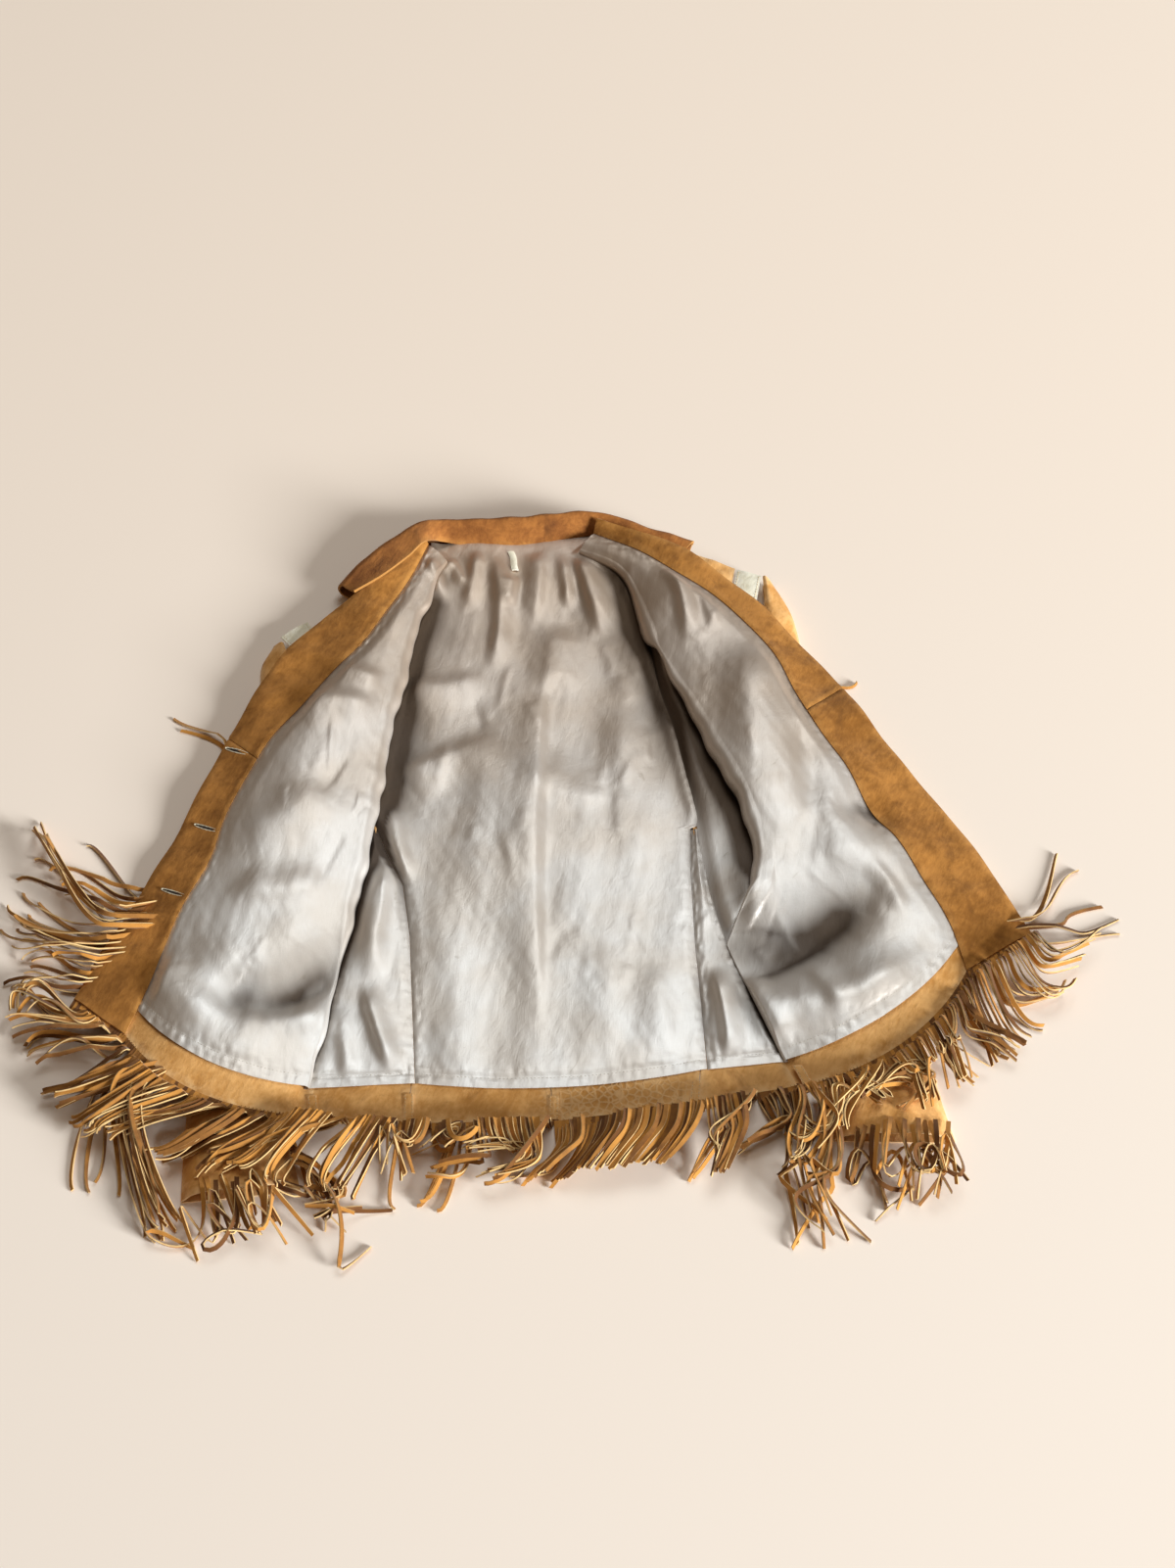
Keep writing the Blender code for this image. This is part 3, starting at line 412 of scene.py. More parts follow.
@dataclass(frozen=True)
class StrandHide(Finish):
    """Fringe hide: each strand has its own tone, and its narrow cut sides are pale."""

    cut: int

    def write(self, r: Recipe) -> None:
        """Writes the strands' tones and pale cut sides.

        Args:
            r: the material's recipe.
        """
        mottle, fine = r.noise(90.0, 3.0, 0.6), r.noise(1300.0, 2.0, 0.6)
        tone = (r.attribute("tone") * 0.8 + mottle * 0.5).step(0.25, 1.05)
        colour = r.mix(tone, dye(self.deep), dye(self.pale))
        colour = r.mix(fine.step(0.55, 0.8) * 0.3, colour, dye(self.deep))
        edge = r.attribute("cut") * (0.55 + 0.45 * mottle.step(0.3, 0.6))
        colour = r.mix(edge, colour, dye(self.cut))
        r.set(Base_Color=colour, Roughness=0.82 + (mottle - 0.5) * 0.2, Sheen_Weight=0.15,
              Specular_IOR_Level=0.3, Normal=r.bump(mottle * 0.6 + fine * 0.3, 0.0004))


@dataclass(frozen=True)
class Satin(Finish):
    """Silver-grey satin: a soft metal-like lustre, a fine warp and small ironed-in wrinkles."""

    # hollow: dark brown of the painted shade in the lining's hollow places
    hollow: int = 0x42301E
    # neck: brown of the painted shade towards the neck
    neck: int = 0xA07E58
    stain: int = 0xA39A86
    metal: float = 0.55
    roughness: float = 0.45
    index: float = 2.3

    def write(self, r: Recipe) -> None:
        """Writes weave, wrinkles and stains, with painted shade that darkens the hollow places and browns the
        lining towards the neck.

        Args:
            r: the material's recipe.
        """
        warp = r.noise(1700.0, 2.0, 0.6, r.stretched(1.0, 0.05, 1.0, 2.0))
        weft = r.noise(1500.0, 1.0, 0.6, r.stretched(0.06, 1.0, 1.0, 2.0))
        # hollow: each point's share of painted shade
        cloud, hollow = r.noise(14.0, 3.0, 0.55), r.attribute("hollow")
        wrinkle = r.noise(95.0, 3.0, 0.62, r.stretched(1.0, 0.35, 1.0, 12.0), 0.8)
        cross = r.noise(120.0, 2.0, 0.6, r.stretched(0.4, 1.0, 1.0, -24.0), 0.5)
        crinkle = r.noise(230.0, 2.0, 0.6, r.stretched(1.0, 0.24, 1.0, 7.0), 0.7)
        mark = r.noise(34.0, 3.0, 0.7, r.stretched(1.0, 0.6, 1.0, 35.0), 2.2).step(0.66, 0.76)
        colour = r.mix(cloud.step(0.36, 0.66), dye(self.deep), dye(self.pale))
        colour = r.mix((warp - 0.5) * 0.4 + 0.1, colour, dye(self.deep))
        colour = r.mix(mark * 0.35, colour, dye(self.stain))
        # painted shade: browner and darker towards the neck
        colour = r.mix(r.up().step(-0.16, 0.36) * 0.62, colour, dye(self.neck))
        # painted shade: darker in hollow places, where gloss and metal also rise
        colour = r.mix(hollow * 0.92, colour, dye(self.hollow))
        gloss = (self.roughness + hollow * 0.14 + (cloud - 0.5) * 0.1 + (warp - 0.5) * 0.1
                 + mark * 0.08)
        height = wrinkle * 0.32 + cross * 0.12 + crinkle * 0.07 + warp * 0.05 + weft * 0.03
        r.set(Base_Color=colour, Roughness=gloss, Metallic=self.metal + hollow * 0.4, IOR=self.index,
              Sheen_Weight=0.1, Sheen_Roughness=0.4, Normal=r.bump(height, 0.0009))


@dataclass(frozen=True)
class Horn(Finish):
    """Dark polished horn for the buttons."""

    def write(self, r: Recipe) -> None:
        """Writes the horn's streaks."""
        grain = r.noise(420.0, 4.0, 0.6, r.stretched(1.0, 0.2, 1.0, 40.0), 1.0)
        r.set(Base_Color=r.mix(grain.step(0.35, 0.7), dye(self.deep), dye(self.pale)),
              Roughness=0.25 + grain * 0.2, Coat_Weight=0.2, Normal=r.bump(grain, 0.0002))


@dataclass(frozen=True)
class Thread(Finish):
    """Twisted sewing thread."""

    def write(self, r: Recipe) -> None:
        """Writes the thread's twist."""
        twist = r.noise(2600.0, 2.0, 0.6, r.stretched(1.0, 0.4, 1.0, 45.0))
        r.set(Base_Color=r.mix(twist.step(0.4, 0.62), dye(self.deep), dye(self.pale)),
              Roughness=0.6 + twist * 0.2, Normal=r.bump(twist, 0.0002))


@dataclass(frozen=True)
class Ground(Finish):
    """Plain pale matt ground, a little warmer near the hem than beyond the collar."""

    def write(self, r: Recipe) -> None:
        """Writes the ground's even tone."""
        colour = r.mix(r.up().step(-0.7, 0.9), dye(self.deep), dye(self.pale))
        r.set(Base_Color=colour, Roughness=0.9 + (r.noise(500.0) - 0.5) * 0.05, Specular_IOR_Level=0.1)


# The crackled patch of the hem band: its middle with y widened, and where its veins fade out.
CRACKLE_CENTRE, CRACKLE_WIDENING, CRACKLE_REACH = (0.045, -0.416, 0.0), 1.6, (0.085, 0.04)

SUEDE = Hide("suede_facing", Slot.BUCKSKIN, 0xB67B36, 0x865417, 0x633B10, 0xBE8846)
SHELL = Hide("buckskin_shell", Slot.BUCKSKIN, 0xE6B06C, 0xBE843E, 0x935F29, 0xF0CC98,
             crackled=True, roughness=0.78, nap=0.0007)
COLLAR_HIDE = Hide("collar_hide", Slot.COLLAR, 0xAE7034, 0x7E4A1C, 0x58300F, 0xAE7B3E,
                   nap=0.0007, staining=0.65)
CREAM = Hide("cream_hide", Slot.CREAM, 0xF1ECD8, 0xD9D0B2, 0xB5A984, 0xF4EFDF, staining=0.25)
FRINGE_HIDE = StrandHide("fringe_hide", Slot.FRINGE, 0xC08438, 0x633A10, 0xD9B67C)
SATIN = Satin("satin", Slot.SATIN, 0xDEDAD4, 0xCDC3B7)
HORN = Horn("horn", Slot.HORN, 0x6B4326, 0x24130B)
PALE_THREAD = Thread("pale_thread", Slot.CREAM, 0xF0DDB4, 0xC09A62)
GREY_THREAD = Thread("grey_thread", Slot.SATIN, 0xD8D0C2, 0x9C9282)
# a near-black sheet for each buttonhole slit: painted shadow
PAINTED_SLIT_SHADOW = Thread("slit_shadow", Slot.BUCKSKIN, 0x2A1A0C, 0x1A1008)
GROUND = Ground("pale_ground", None, 0xF6E6D5, 0xF5E8DA)


# ======== cloth geometry
def smooth(value: Any) -> Array:
    """A soft step from 0 to 1 as value goes from 0 to 1."""
    t = np.clip(value, 0.0, 1.0)
    return t * t * (3.0 - 2.0 * t)


def bell(away: Any, width: Any) -> Array:
    """A soft bump: 1 at no distance, fading over the width."""
    return np.exp(-(np.asarray(away) / width) ** 2)


def spline(table: Sequence, shares: Array) -> Array:
    """A smooth curve through the rows of a table.

    Args:
        table: rows of numbers, evenly spaced along the curve.
        shares: where to read it, from 0 at the first row to 1 at the last.

    Returns:
        One row of numbers for each share.
    """
    rows = np.array(table, float)
    slope = np.gradient(rows, axis=0)
    wanted = np.clip(np.asarray(shares, float), 0.0, 1.0) * (len(rows) - 1)
    k = np.minimum(wanted.astype(int), len(rows) - 2)
    t = (wanted - k)[:, None]
    first, last = (2 * t - 3) * t * t + 1, (3 - 2 * t) * t * t
    return (first * rows[k] + last * rows[k + 1]
            + ((t - 2) * t * t + t) * slope[k] + (t - 1) * t * t * slope[k + 1])


def along(points: Sequence, shares: Any) -> Array:
    """Points of a polyline at shares of its length.

    Args:
        points: the polyline; its first two coordinates give its length.
        shares: shares of the length, 0 to 1.

    Returns:
        One point for each share, every coordinate interpolated.
    """
    table = np.array(points, float)
    reach = line_reach(table)
    wanted = np.asarray(shares, float) * reach[-1]
    return np.stack([np.interp(wanted, reach, column) for column in table.T], -1)


def line_reach(line: Array) -> Array:
    """Distance of each point of a line from its start, on the plan."""
    steps = np.linalg.norm(np.diff(line[:, :2], axis=0), axis=1)
    return np.concatenate(([0.0], np.cumsum(steps)))


def x_at(points: Sequence, y: Any) -> Array:
    """Where a line that runs down the jacket crosses heights of the plan."""
    line = np.array(points, float)[::-1]
    return np.interp(y, line[:, 1], line[:, 0])


def unit(vectors: Array) -> Array:
    """The same directions with a length of 1."""
    return vectors / np.maximum(np.linalg.norm(vectors, axis=-1, keepdims=True), 1e-9)


def widened_line(centre: Array, width: float, shares: Array) -> Array:
    """Plan lattice of a strip that lies crosswise along a line, from -1 to 1 of its half width."""
    return np.stack([centre + np.array((k * width / 2, 0.0)) for k in shares], 1)


def averaged(line: Array, count: int) -> Array:
    """A line of numbers, each replaced by the mean of so many around it."""
    return np.convolve(np.pad(line, count // 2, "edge"), np.ones(count) / count, "valid")


def tube(rings: int, count: int, start: int = 0) -> list:
    """Faces between rings of points that follow each other.

    Args:
        rings: how many rings there are.
        count: points in a ring.
        start: number of the first ring's first point.

    Returns:
        Rows of four point numbers.
    """
    corners = [(start + ring * count + k, start + ring * count + (k + 1) % count)
               for ring in range(rings - 1) for k in range(count)]
    return [(a, b, b + count, a + count) for a, b in corners]


def spanned(first: Array, second: Array, shares: Array) -> Array:
    """A lattice of straight rows between two polylines of equal count."""
    t = np.asarray(shares, float)[None, :, None]
    return first[:, None, :] * (1.0 - t) + second[:, None, :] * t


def raised(plan: Array, z: Any = 0.0) -> Array:
    """Plan points with a height, or each with its own."""
    return np.concatenate((plan, np.broadcast_to(z, plan.shape[:-1])[..., None]), axis=-1)


def to_edge(across: Array) -> Array:
    """Distance to the nearer end of each row, from distances across the rows."""
    return np.minimum(across, across[:, -1:] - across)


def neck_rise(y: Any) -> Array:
    """How far the collar's tucked fall lifts the layers above it."""
    return NECK_RISE * smooth((np.asarray(y) - NECK_RISE_FROM) / NECK_RISE_LENGTH)


def normals(lattice: Array) -> Array:
    """Unit normals of a lattice, pointing up where it lies flat."""
    cross = faced(lattice)
    return unit(cross * np.sign(cross[..., 2].sum()))


def faced(lattice: Array) -> Array:
    """The way that a lattice faces at each point, by the order of its rows."""
    return np.cross(np.gradient(lattice, axis=0), np.gradient(lattice, axis=1))


def row_reach(lattice: Array, axis: int) -> Array:
    """Distance along a lattice's rows or columns from their start.

    Args:
        lattice: the points.
        axis: 0 to go down the columns, 1 to go across the rows.

    Returns:
        The distance at each point, in millimetres.
    """
    steps = np.linalg.norm(np.diff(lattice, axis=axis), axis=2)
    total = np.cumsum(steps, axis=axis)
    zero = np.zeros_like(np.take(total, [0], axis=axis))
    return np.concatenate((zero, total), axis=axis)


@dataclass(frozen=True)
class Ripples:
    """Uneven gentle waves, a sum of plane waves of seeded direction, length and phase."""

    seed: int
    shortest: float
    longest: float
    turn: float = 0.0
    spread: float = 180.0
    count: int = 18

    def at(self, x: Any, y: Any) -> Array:
        """Height of the waves.

        Args:
            x: plan places across.
            y: plan places along.

        Returns:
            Heights, mostly between -1 and 1.
        """
        draw = np.random.default_rng(self.seed)
        total = np.zeros(np.broadcast(x, y).shape)
        for _ in range(self.count):
            length = math.exp(draw.uniform(math.log(self.shortest), math.log(self.longest)))
            angle = math.radians(self.turn + draw.uniform(-0.5, 0.5) * self.spread)
            phase = draw.uniform(0.0, math.tau)
            pull = math.tau / length
            total = total + np.sin(pull * (math.cos(angle) * x + math.sin(angle) * y) + phase)
        return total / math.sqrt(self.count / 2.0) * 0.6


def crease_height(crease: Crease, x: Array, y: Array) -> Array:
    """Height that one crease adds.

    Args:
        crease: its three points, height and the widths of its left and right slope.
        x: plan places across.
        y: plan places along.

    Returns:
        The height at each place.
    """
    steps, taper = 10, 0.3
    t = np.linspace(0.0, 1.0, steps + 1)[:, None]
    start, middle, end = (np.array(crease[k:k + 2], float) for k in (0, 2, 4))
    pull = 2.0 * middle - (start + end) / 2.0
    curve = (1 - t) ** 2 * start + 2 * t * (1 - t) * pull + t * t * end
    best, place, width = np.full(x.shape, np.inf), np.zeros(x.shape), np.ones(x.shape)
    for k in range(steps):
        (ax, ay), (dx, dy) = curve[k], curve[k + 1] - curve[k]
        share = np.clip(((x - ax) * dx + (y - ay) * dy) / (dx * dx + dy * dy), 0.0, 1.0)
        ex, ey = x - ax - share * dx, y - ay - share * dy
        away = np.hypot(ex, ey)
        nearer = away < best
        best = np.where(nearer, away, best)
        place = np.where(nearer, (k + share) / steps, place)
        width = np.where(nearer, np.where(dx * ey - dy * ex > 0, crease.left, crease.right), width)
    return crease.height * bell(best, width) * smooth(place / taper) * smooth((1.0 - place) / taper)


class Relief:
    """Heights on a square grid over the plan, for laying one layer on another."""

    LOW, HIGH, CELL = np.array((-500.0, -480.0)), np.array((480.0, 330.0)), 2.0

    def __init__(self, start: float, pick: Callable) -> None:
        """Starts even; pick is np.maximum for tops and np.minimum for undersides."""
        self.pick = pick
        self.shape = tuple(((self.HIGH - self.LOW) / self.CELL).astype(int) + 1)
        self.grid = np.full(self.shape, float(start))

    def cells(self, x: Array, y: Array) -> tuple:
        """Grid places of plan points."""
        return tuple(np.clip(np.rint((place - low) / self.CELL).astype(int), 0, size - 1)
                     for place, low, size in zip((x, y), self.LOW, self.shape))

    def press(self, lattice: Array) -> "Relief":
        """Takes in the heights of a lattice.

        Args:
            lattice: points, closer together than about 8 mm.

        Returns:
            This relief.
        """
        shares = np.linspace(0.0, 1.0, 5)
        a, b, c, d = lattice[:-1, :-1], lattice[1:, :-1], lattice[1:, 1:], lattice[:-1, 1:]
        for s, t in ((s, t) for s in shares for t in shares):
            spot = (1 - s) * ((1 - t) * a + t * d) + s * ((1 - t) * b + t * c)
            self.pick.at(self.grid, self.cells(spot[..., 0], spot[..., 1]), spot[..., 2])
        return self

    def widened(self, reach: float) -> "Relief":
        """This relief with each height spread over its surroundings.

        Args:
            reach: how far, in millimetres.

        Returns:
            A new relief.
        """
        made = Relief(0.0, self.pick)
        made.grid = self.grid.copy()
        for _ in range(int(round(reach / self.CELL))):
            grid = made.grid.copy()
            for axis in (0, 1):
                for step in (-1, 1):
                    grid = self.pick(grid, np.roll(made.grid, step, axis))
            made.grid = grid
        return made

    def at(self, x: Array, y: Array) -> Array:
        """Heights at plan points."""
        return self.grid[self.cells(x, y)]


def shape(name: str, points: list, faces: Iterable, finish: Finish) -> bpy.types.Object:
    """Makes a plain mesh object.

    Args:
        name: the object's name.
        points: its points, in metres.
        faces: its faces, as rows of point numbers.
        finish: what writes its material.

    Returns:
        The object.
    """
    mesh = bpy.data.meshes.new(name)
    mesh.from_pydata(points, [], [[int(corner) for corner in face] for face in faces])
    mesh.materials.append(finish.make())
    return placed_in_scene(name, mesh)


def placed_in_scene(name: str, data: bpy.types.ID) -> bpy.types.Object:
    """A new object in the scene that shows a mesh, a light or a camera."""
    made = bpy.data.objects.new(name, data)
    bpy.context.scene.collection.objects.link(made)
    return made


def pressed(lattices: Iterable[Array]) -> Relief:
    """The tops of some lattices, above the ground."""
    relief = Relief(0.0, np.maximum)
    for lattice in lattices:
        relief.press(lattice)
    return relief


class Pattern:
    """Places the plan's millimetres in the frame and turns lattices into pieces."""

    def __init__(self) -> None:
        """Finds the plan's origin from the left under sleeve, which lies flat on the ground."""
        low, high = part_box("sleeve_under_left")
        cuff = LEFT_SLEEVE[-1]
        self.origin = np.array((high.x - cuff.outer_x * MM, low.y - cuff.outer_y * MM, low.z))

    def placed(self, points: Array) -> Array:
        """Plan millimetres as frame metres, nothing below the ground."""
        spots = np.asarray(points, float) * MM + self.origin
        spots[..., 2] = np.maximum(spots[..., 2], self.origin[2])
        return spots

    def piece(self, name: str, points: Any, faces: Any, finish: Finish, nodes: Sequence[str] = (),
              marks: Optional[dict] = None, sharp: Optional[float] = None) -> bpy.types.Object:
        """Makes one piece, dresses it and fastens it to the frame.

        Args:
            name: the piece's name.
            points: its points, in plan millimetres.
            faces: its faces, as rows of point numbers.
            finish: what writes its material.
            nodes: the frame's nodes that it stands for.
            marks: named numbers on its points or faces.
            sharp: edges steeper than this many degrees stay crisp; all are soft if left out.

        Returns:
            The piece.
        """
        made = shape(name, self.placed(points).tolist(), faces, finish)
        mesh = made.data
        for key, values in (marks or {}).items():
            domain = "FACE" if len(values) == len(mesh.polygons) else "POINT"
            layer = mesh.attributes.new(key, "FLOAT", domain)
            layer.data.foreach_set("value", np.asarray(values, np.float32))
        mesh.shade_smooth()
        if sharp is not None:
            mesh.set_sharp_from_angle(angle=math.radians(sharp))
        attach(made, "root")
        if nodes:
            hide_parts(*nodes)
        LOG.info("%s: %d points, %d faces", name, len(mesh.vertices), len(mesh.polygons))
        return made

    def wall(self, name: str, middle: Array, thickness: Any, finish: Finish,
             nodes: Sequence[str] = (), rim: float = 5.0) -> bpy.types.Object:
        """Closes a lattice of middle points into a wall of cloth or hide.

        Args:
            name: the piece's name.
            middle: lattice of middle points, in plan millimetres.
            thickness: one thickness, or one for each point.
            finish: what writes its material.
            nodes: the frame's nodes that it stands for.
            rim: how far wear reaches in from the edges.

        Returns:
            The piece.
        """
        half = np.broadcast_to(np.asarray(thickness, float), middle.shape[:2])[..., None] / 2.0
        up = normals(middle) * half
        points = np.concatenate(((middle - up).reshape(-1, 3), (middle + up).reshape(-1, 3)))
        count = len(points) // 2
        index = np.arange(count).reshape(middle.shape[:2])
        cell = np.stack((index[:-1, :-1], index[1:, :-1], index[1:, 1:], index[:-1, 1:]), -1)
        cell = cell.reshape(-1, 4)
        loop = np.concatenate((index[:, 0], index[-1, 1:], index[-2::-1, -1], index[0, -2:0:-1]))
        after = np.roll(loop, -1)
        edge = np.stack((after, loop, loop + count, after + count), -1)
        faces = np.concatenate((cell[:, ::-1], cell + count, edge))
        if faced(middle)[..., 2].sum() < 0:
            faces = faces[:, ::-1]
        cut = np.concatenate((np.zeros(2 * len(cell)), np.ones(len(edge))))
        near = np.minimum(to_edge(row_reach(middle, 1)), to_edge(row_reach(middle, 0).T).T)
        marks = {"cut": cut, "rim": np.tile(bell(near.ravel(), rim), 2)}
        return self.piece(name, points, faces, finish, nodes, marks, WALL_CREASE)

    def stitches(self, name: str, routes: Iterable[Array], finish: Finish, pitch: float = 3.2,
                 length: float = 2.3, radius: float = 0.24) -> bpy.types.Object:
        """Sews rows of small stitches.

        Args:
            name: the piece's name.
            routes: the rows, each a line of plan points at the cloth's face.
            finish: what writes the thread's material.
            pitch: millimetres from stitch to stitch.
            length: length of a stitch.
            radius: half the thread's thickness.

        Returns:
            The piece.
        """
        turns = np.linspace(0.0, math.tau, STITCH_SIDES, endpoint=False)[:, None]
        points, faces = [], []
        for route in routes:
            number = max(int(line_reach(route)[-1] / pitch), 2)
            middle = along(route, (np.arange(number) + 0.5) / number)
            for spot, way in zip(middle, unit(np.gradient(middle, axis=0))):
                side = unit(np.cross(way, UP))
                top = np.cross(side, way)
                start = len(points)
                for place, size, rise in STITCH_RINGS:
                    centre = spot + way * place * length + top * rise * radius
                    points += list(centre + radius * size * (np.cos(turns) * side + np.sin(turns) * top))
                faces += tube(len(STITCH_RINGS), STITCH_SIDES, start)
                faces += [range(start + STITCH_SIDES - 1, start - 1, -1),
                          range(len(points) - STITCH_SIDES, len(points))]
        return self.piece(name, points, faces, finish)


# ======== the garment's parts
class LiningCloth:
    """Slack, creases and gathers that all pieces of the lining share."""

    LOOSE, FADED, WRINKLES = 2.0, 90.0, 110      # mean slack, where a crease has gone, small ones

    def __init__(self) -> None:
        """Chooses the waves and draws the many small wrinkles."""
        self.slack = ((0.8, Ripples(11, 50.0, 120.0, 4.0, 50.0)), (1.1, Ripples(14, 110.0, 220.0)),
                      (0.11, Ripples(12, 10.0, 26.0, 5.0, 60.0, 22)))
        self.gather = Ripples(13, 5.0, 13.0, 0.0, 180.0, 24)
        draw = np.random.default_rng(41)
        self.small = []
        for _ in range(self.WRINKLES):
            x, y = draw.uniform(-330, 260), draw.uniform(-290, 250)
            turn, size = math.radians(draw.normal(86.0, 20.0)), draw.uniform(18.0, 80.0)
            dx, dy = math.cos(turn) * size / 2, math.sin(turn) * size / 2
            bend = draw.uniform(-4.0, 4.0)
            self.small.append(Crease(x - dx, y - dy, x + bend, y, x + dx, y + dy,
                                     draw.uniform(0.15, 0.9) * draw.choice((1.0, 1.0, -0.8)),
                                     draw.uniform(1.8, 8.0), draw.uniform(2.4, 8.0)))

    def loft(self, x: Array, y: Array) -> Array:
        """How far the cloth stands off what it lies on."""
        total = self.LOOSE + sum(height * ripples.at(x, y) for height, ripples in self.slack)
        for crease in (*CREASES, *self.small):
            near = np.ones(x.shape, bool)
            for place, ends in ((x, crease[0:6:2]), (y, crease[1:6:2])):
                near &= (place > min(ends) - self.FADED) & (place < max(ends) + self.FADED)
            if near.any():
                total[near] += crease_height(crease, x[near], y[near])
        return total

    def gathers(self, x: Array, y: Array, away: Array, depth: float, reach: float) -> Array:
        """Height of small gathers beside a seam, so deep, gone at that reach from it."""
        return depth * bell(away, reach) * smooth(away / 2.5) * (self.gather.at(x, y) + 0.35)


class Hollows:
    """Painted shade for the lining: how deep each place lies below its surroundings, as a share of darkening.
    """

    # For each scale: cells of smoothing, depth at which the painted shade is full, and its weight
    SCALES = ((7, 5.0, 0.7), (18, 10.0, 0.95))

    def __init__(self, pattern: Pattern, lattices: Sequence[Array]) -> None:
        """Maps the tops of all lattices and smooths the map.

        Args:
            pattern: what places the pieces.
            lattices: everything that shows from above.
        """
        self.pattern, self.maps = pattern, []
        tops = pressed(lattices)
        for cells, depth, weight in self.SCALES:
            smoothed = tops.grid.copy()
            kernel = np.ones(2 * cells + 1) / (2 * cells + 1)
            for _ in range(2):
                for axis in (0, 1):
                    smoothed = np.apply_along_axis(np.convolve, axis, smoothed, kernel, "same")
            self.maps.append((smoothed, depth, weight))
        self.tops = tops

    def mark(self, piece: bpy.types.Object) -> None:
        """Writes on each point of a piece its share of painted shade, from its depth and the dips there."""
        mesh = piece.data
        spots = np.empty(len(mesh.vertices) * 3, np.float32)
        mesh.vertices.foreach_get("co", spots)
        spots = (spots.reshape(-1, 3) - self.pattern.origin) / MM
        places = (spots[:, :2] - Relief.LOW) / Relief.CELL
        places = np.clip(places, 0.0, np.array(self.tops.shape) - 1.001)
        (i, j), (s, t) = places.astype(int).T, (places % 1.0).T
        total = np.zeros(len(spots))
        # painted shade where a point lies below the smoothed tops
        for smoothed, depth, weight in self.maps:
            level = ((smoothed[i, j] * (1 - s) + smoothed[i + 1, j] * s) * (1 - t)
                     + (smoothed[i, j + 1] * (1 - s) + smoothed[i + 1, j + 1] * s) * t)
            total += weight * smooth((level - spots[:, 2] - 0.8) / depth)
        # more painted shade where the fronts' dips are deepest
        for dip in DIPS:
            total += 0.62 * np.abs(crease_height(dip, spots[:, 0], spots[:, 1]) / 15.0) ** 1.3
        layer = mesh.attributes.new("hollow", "FLOAT", "POINT")
        layer.data.foreach_set("value", np.minimum(total, 1.0).astype(np.float32))


def soft_floor(height: Array, least: float = 0.0, ease: float = 0.6) -> Array:
    """Keeps heights above a least value, with a soft bend."""
    return least + ease * np.logaddexp(0.0, (height - least) / ease)


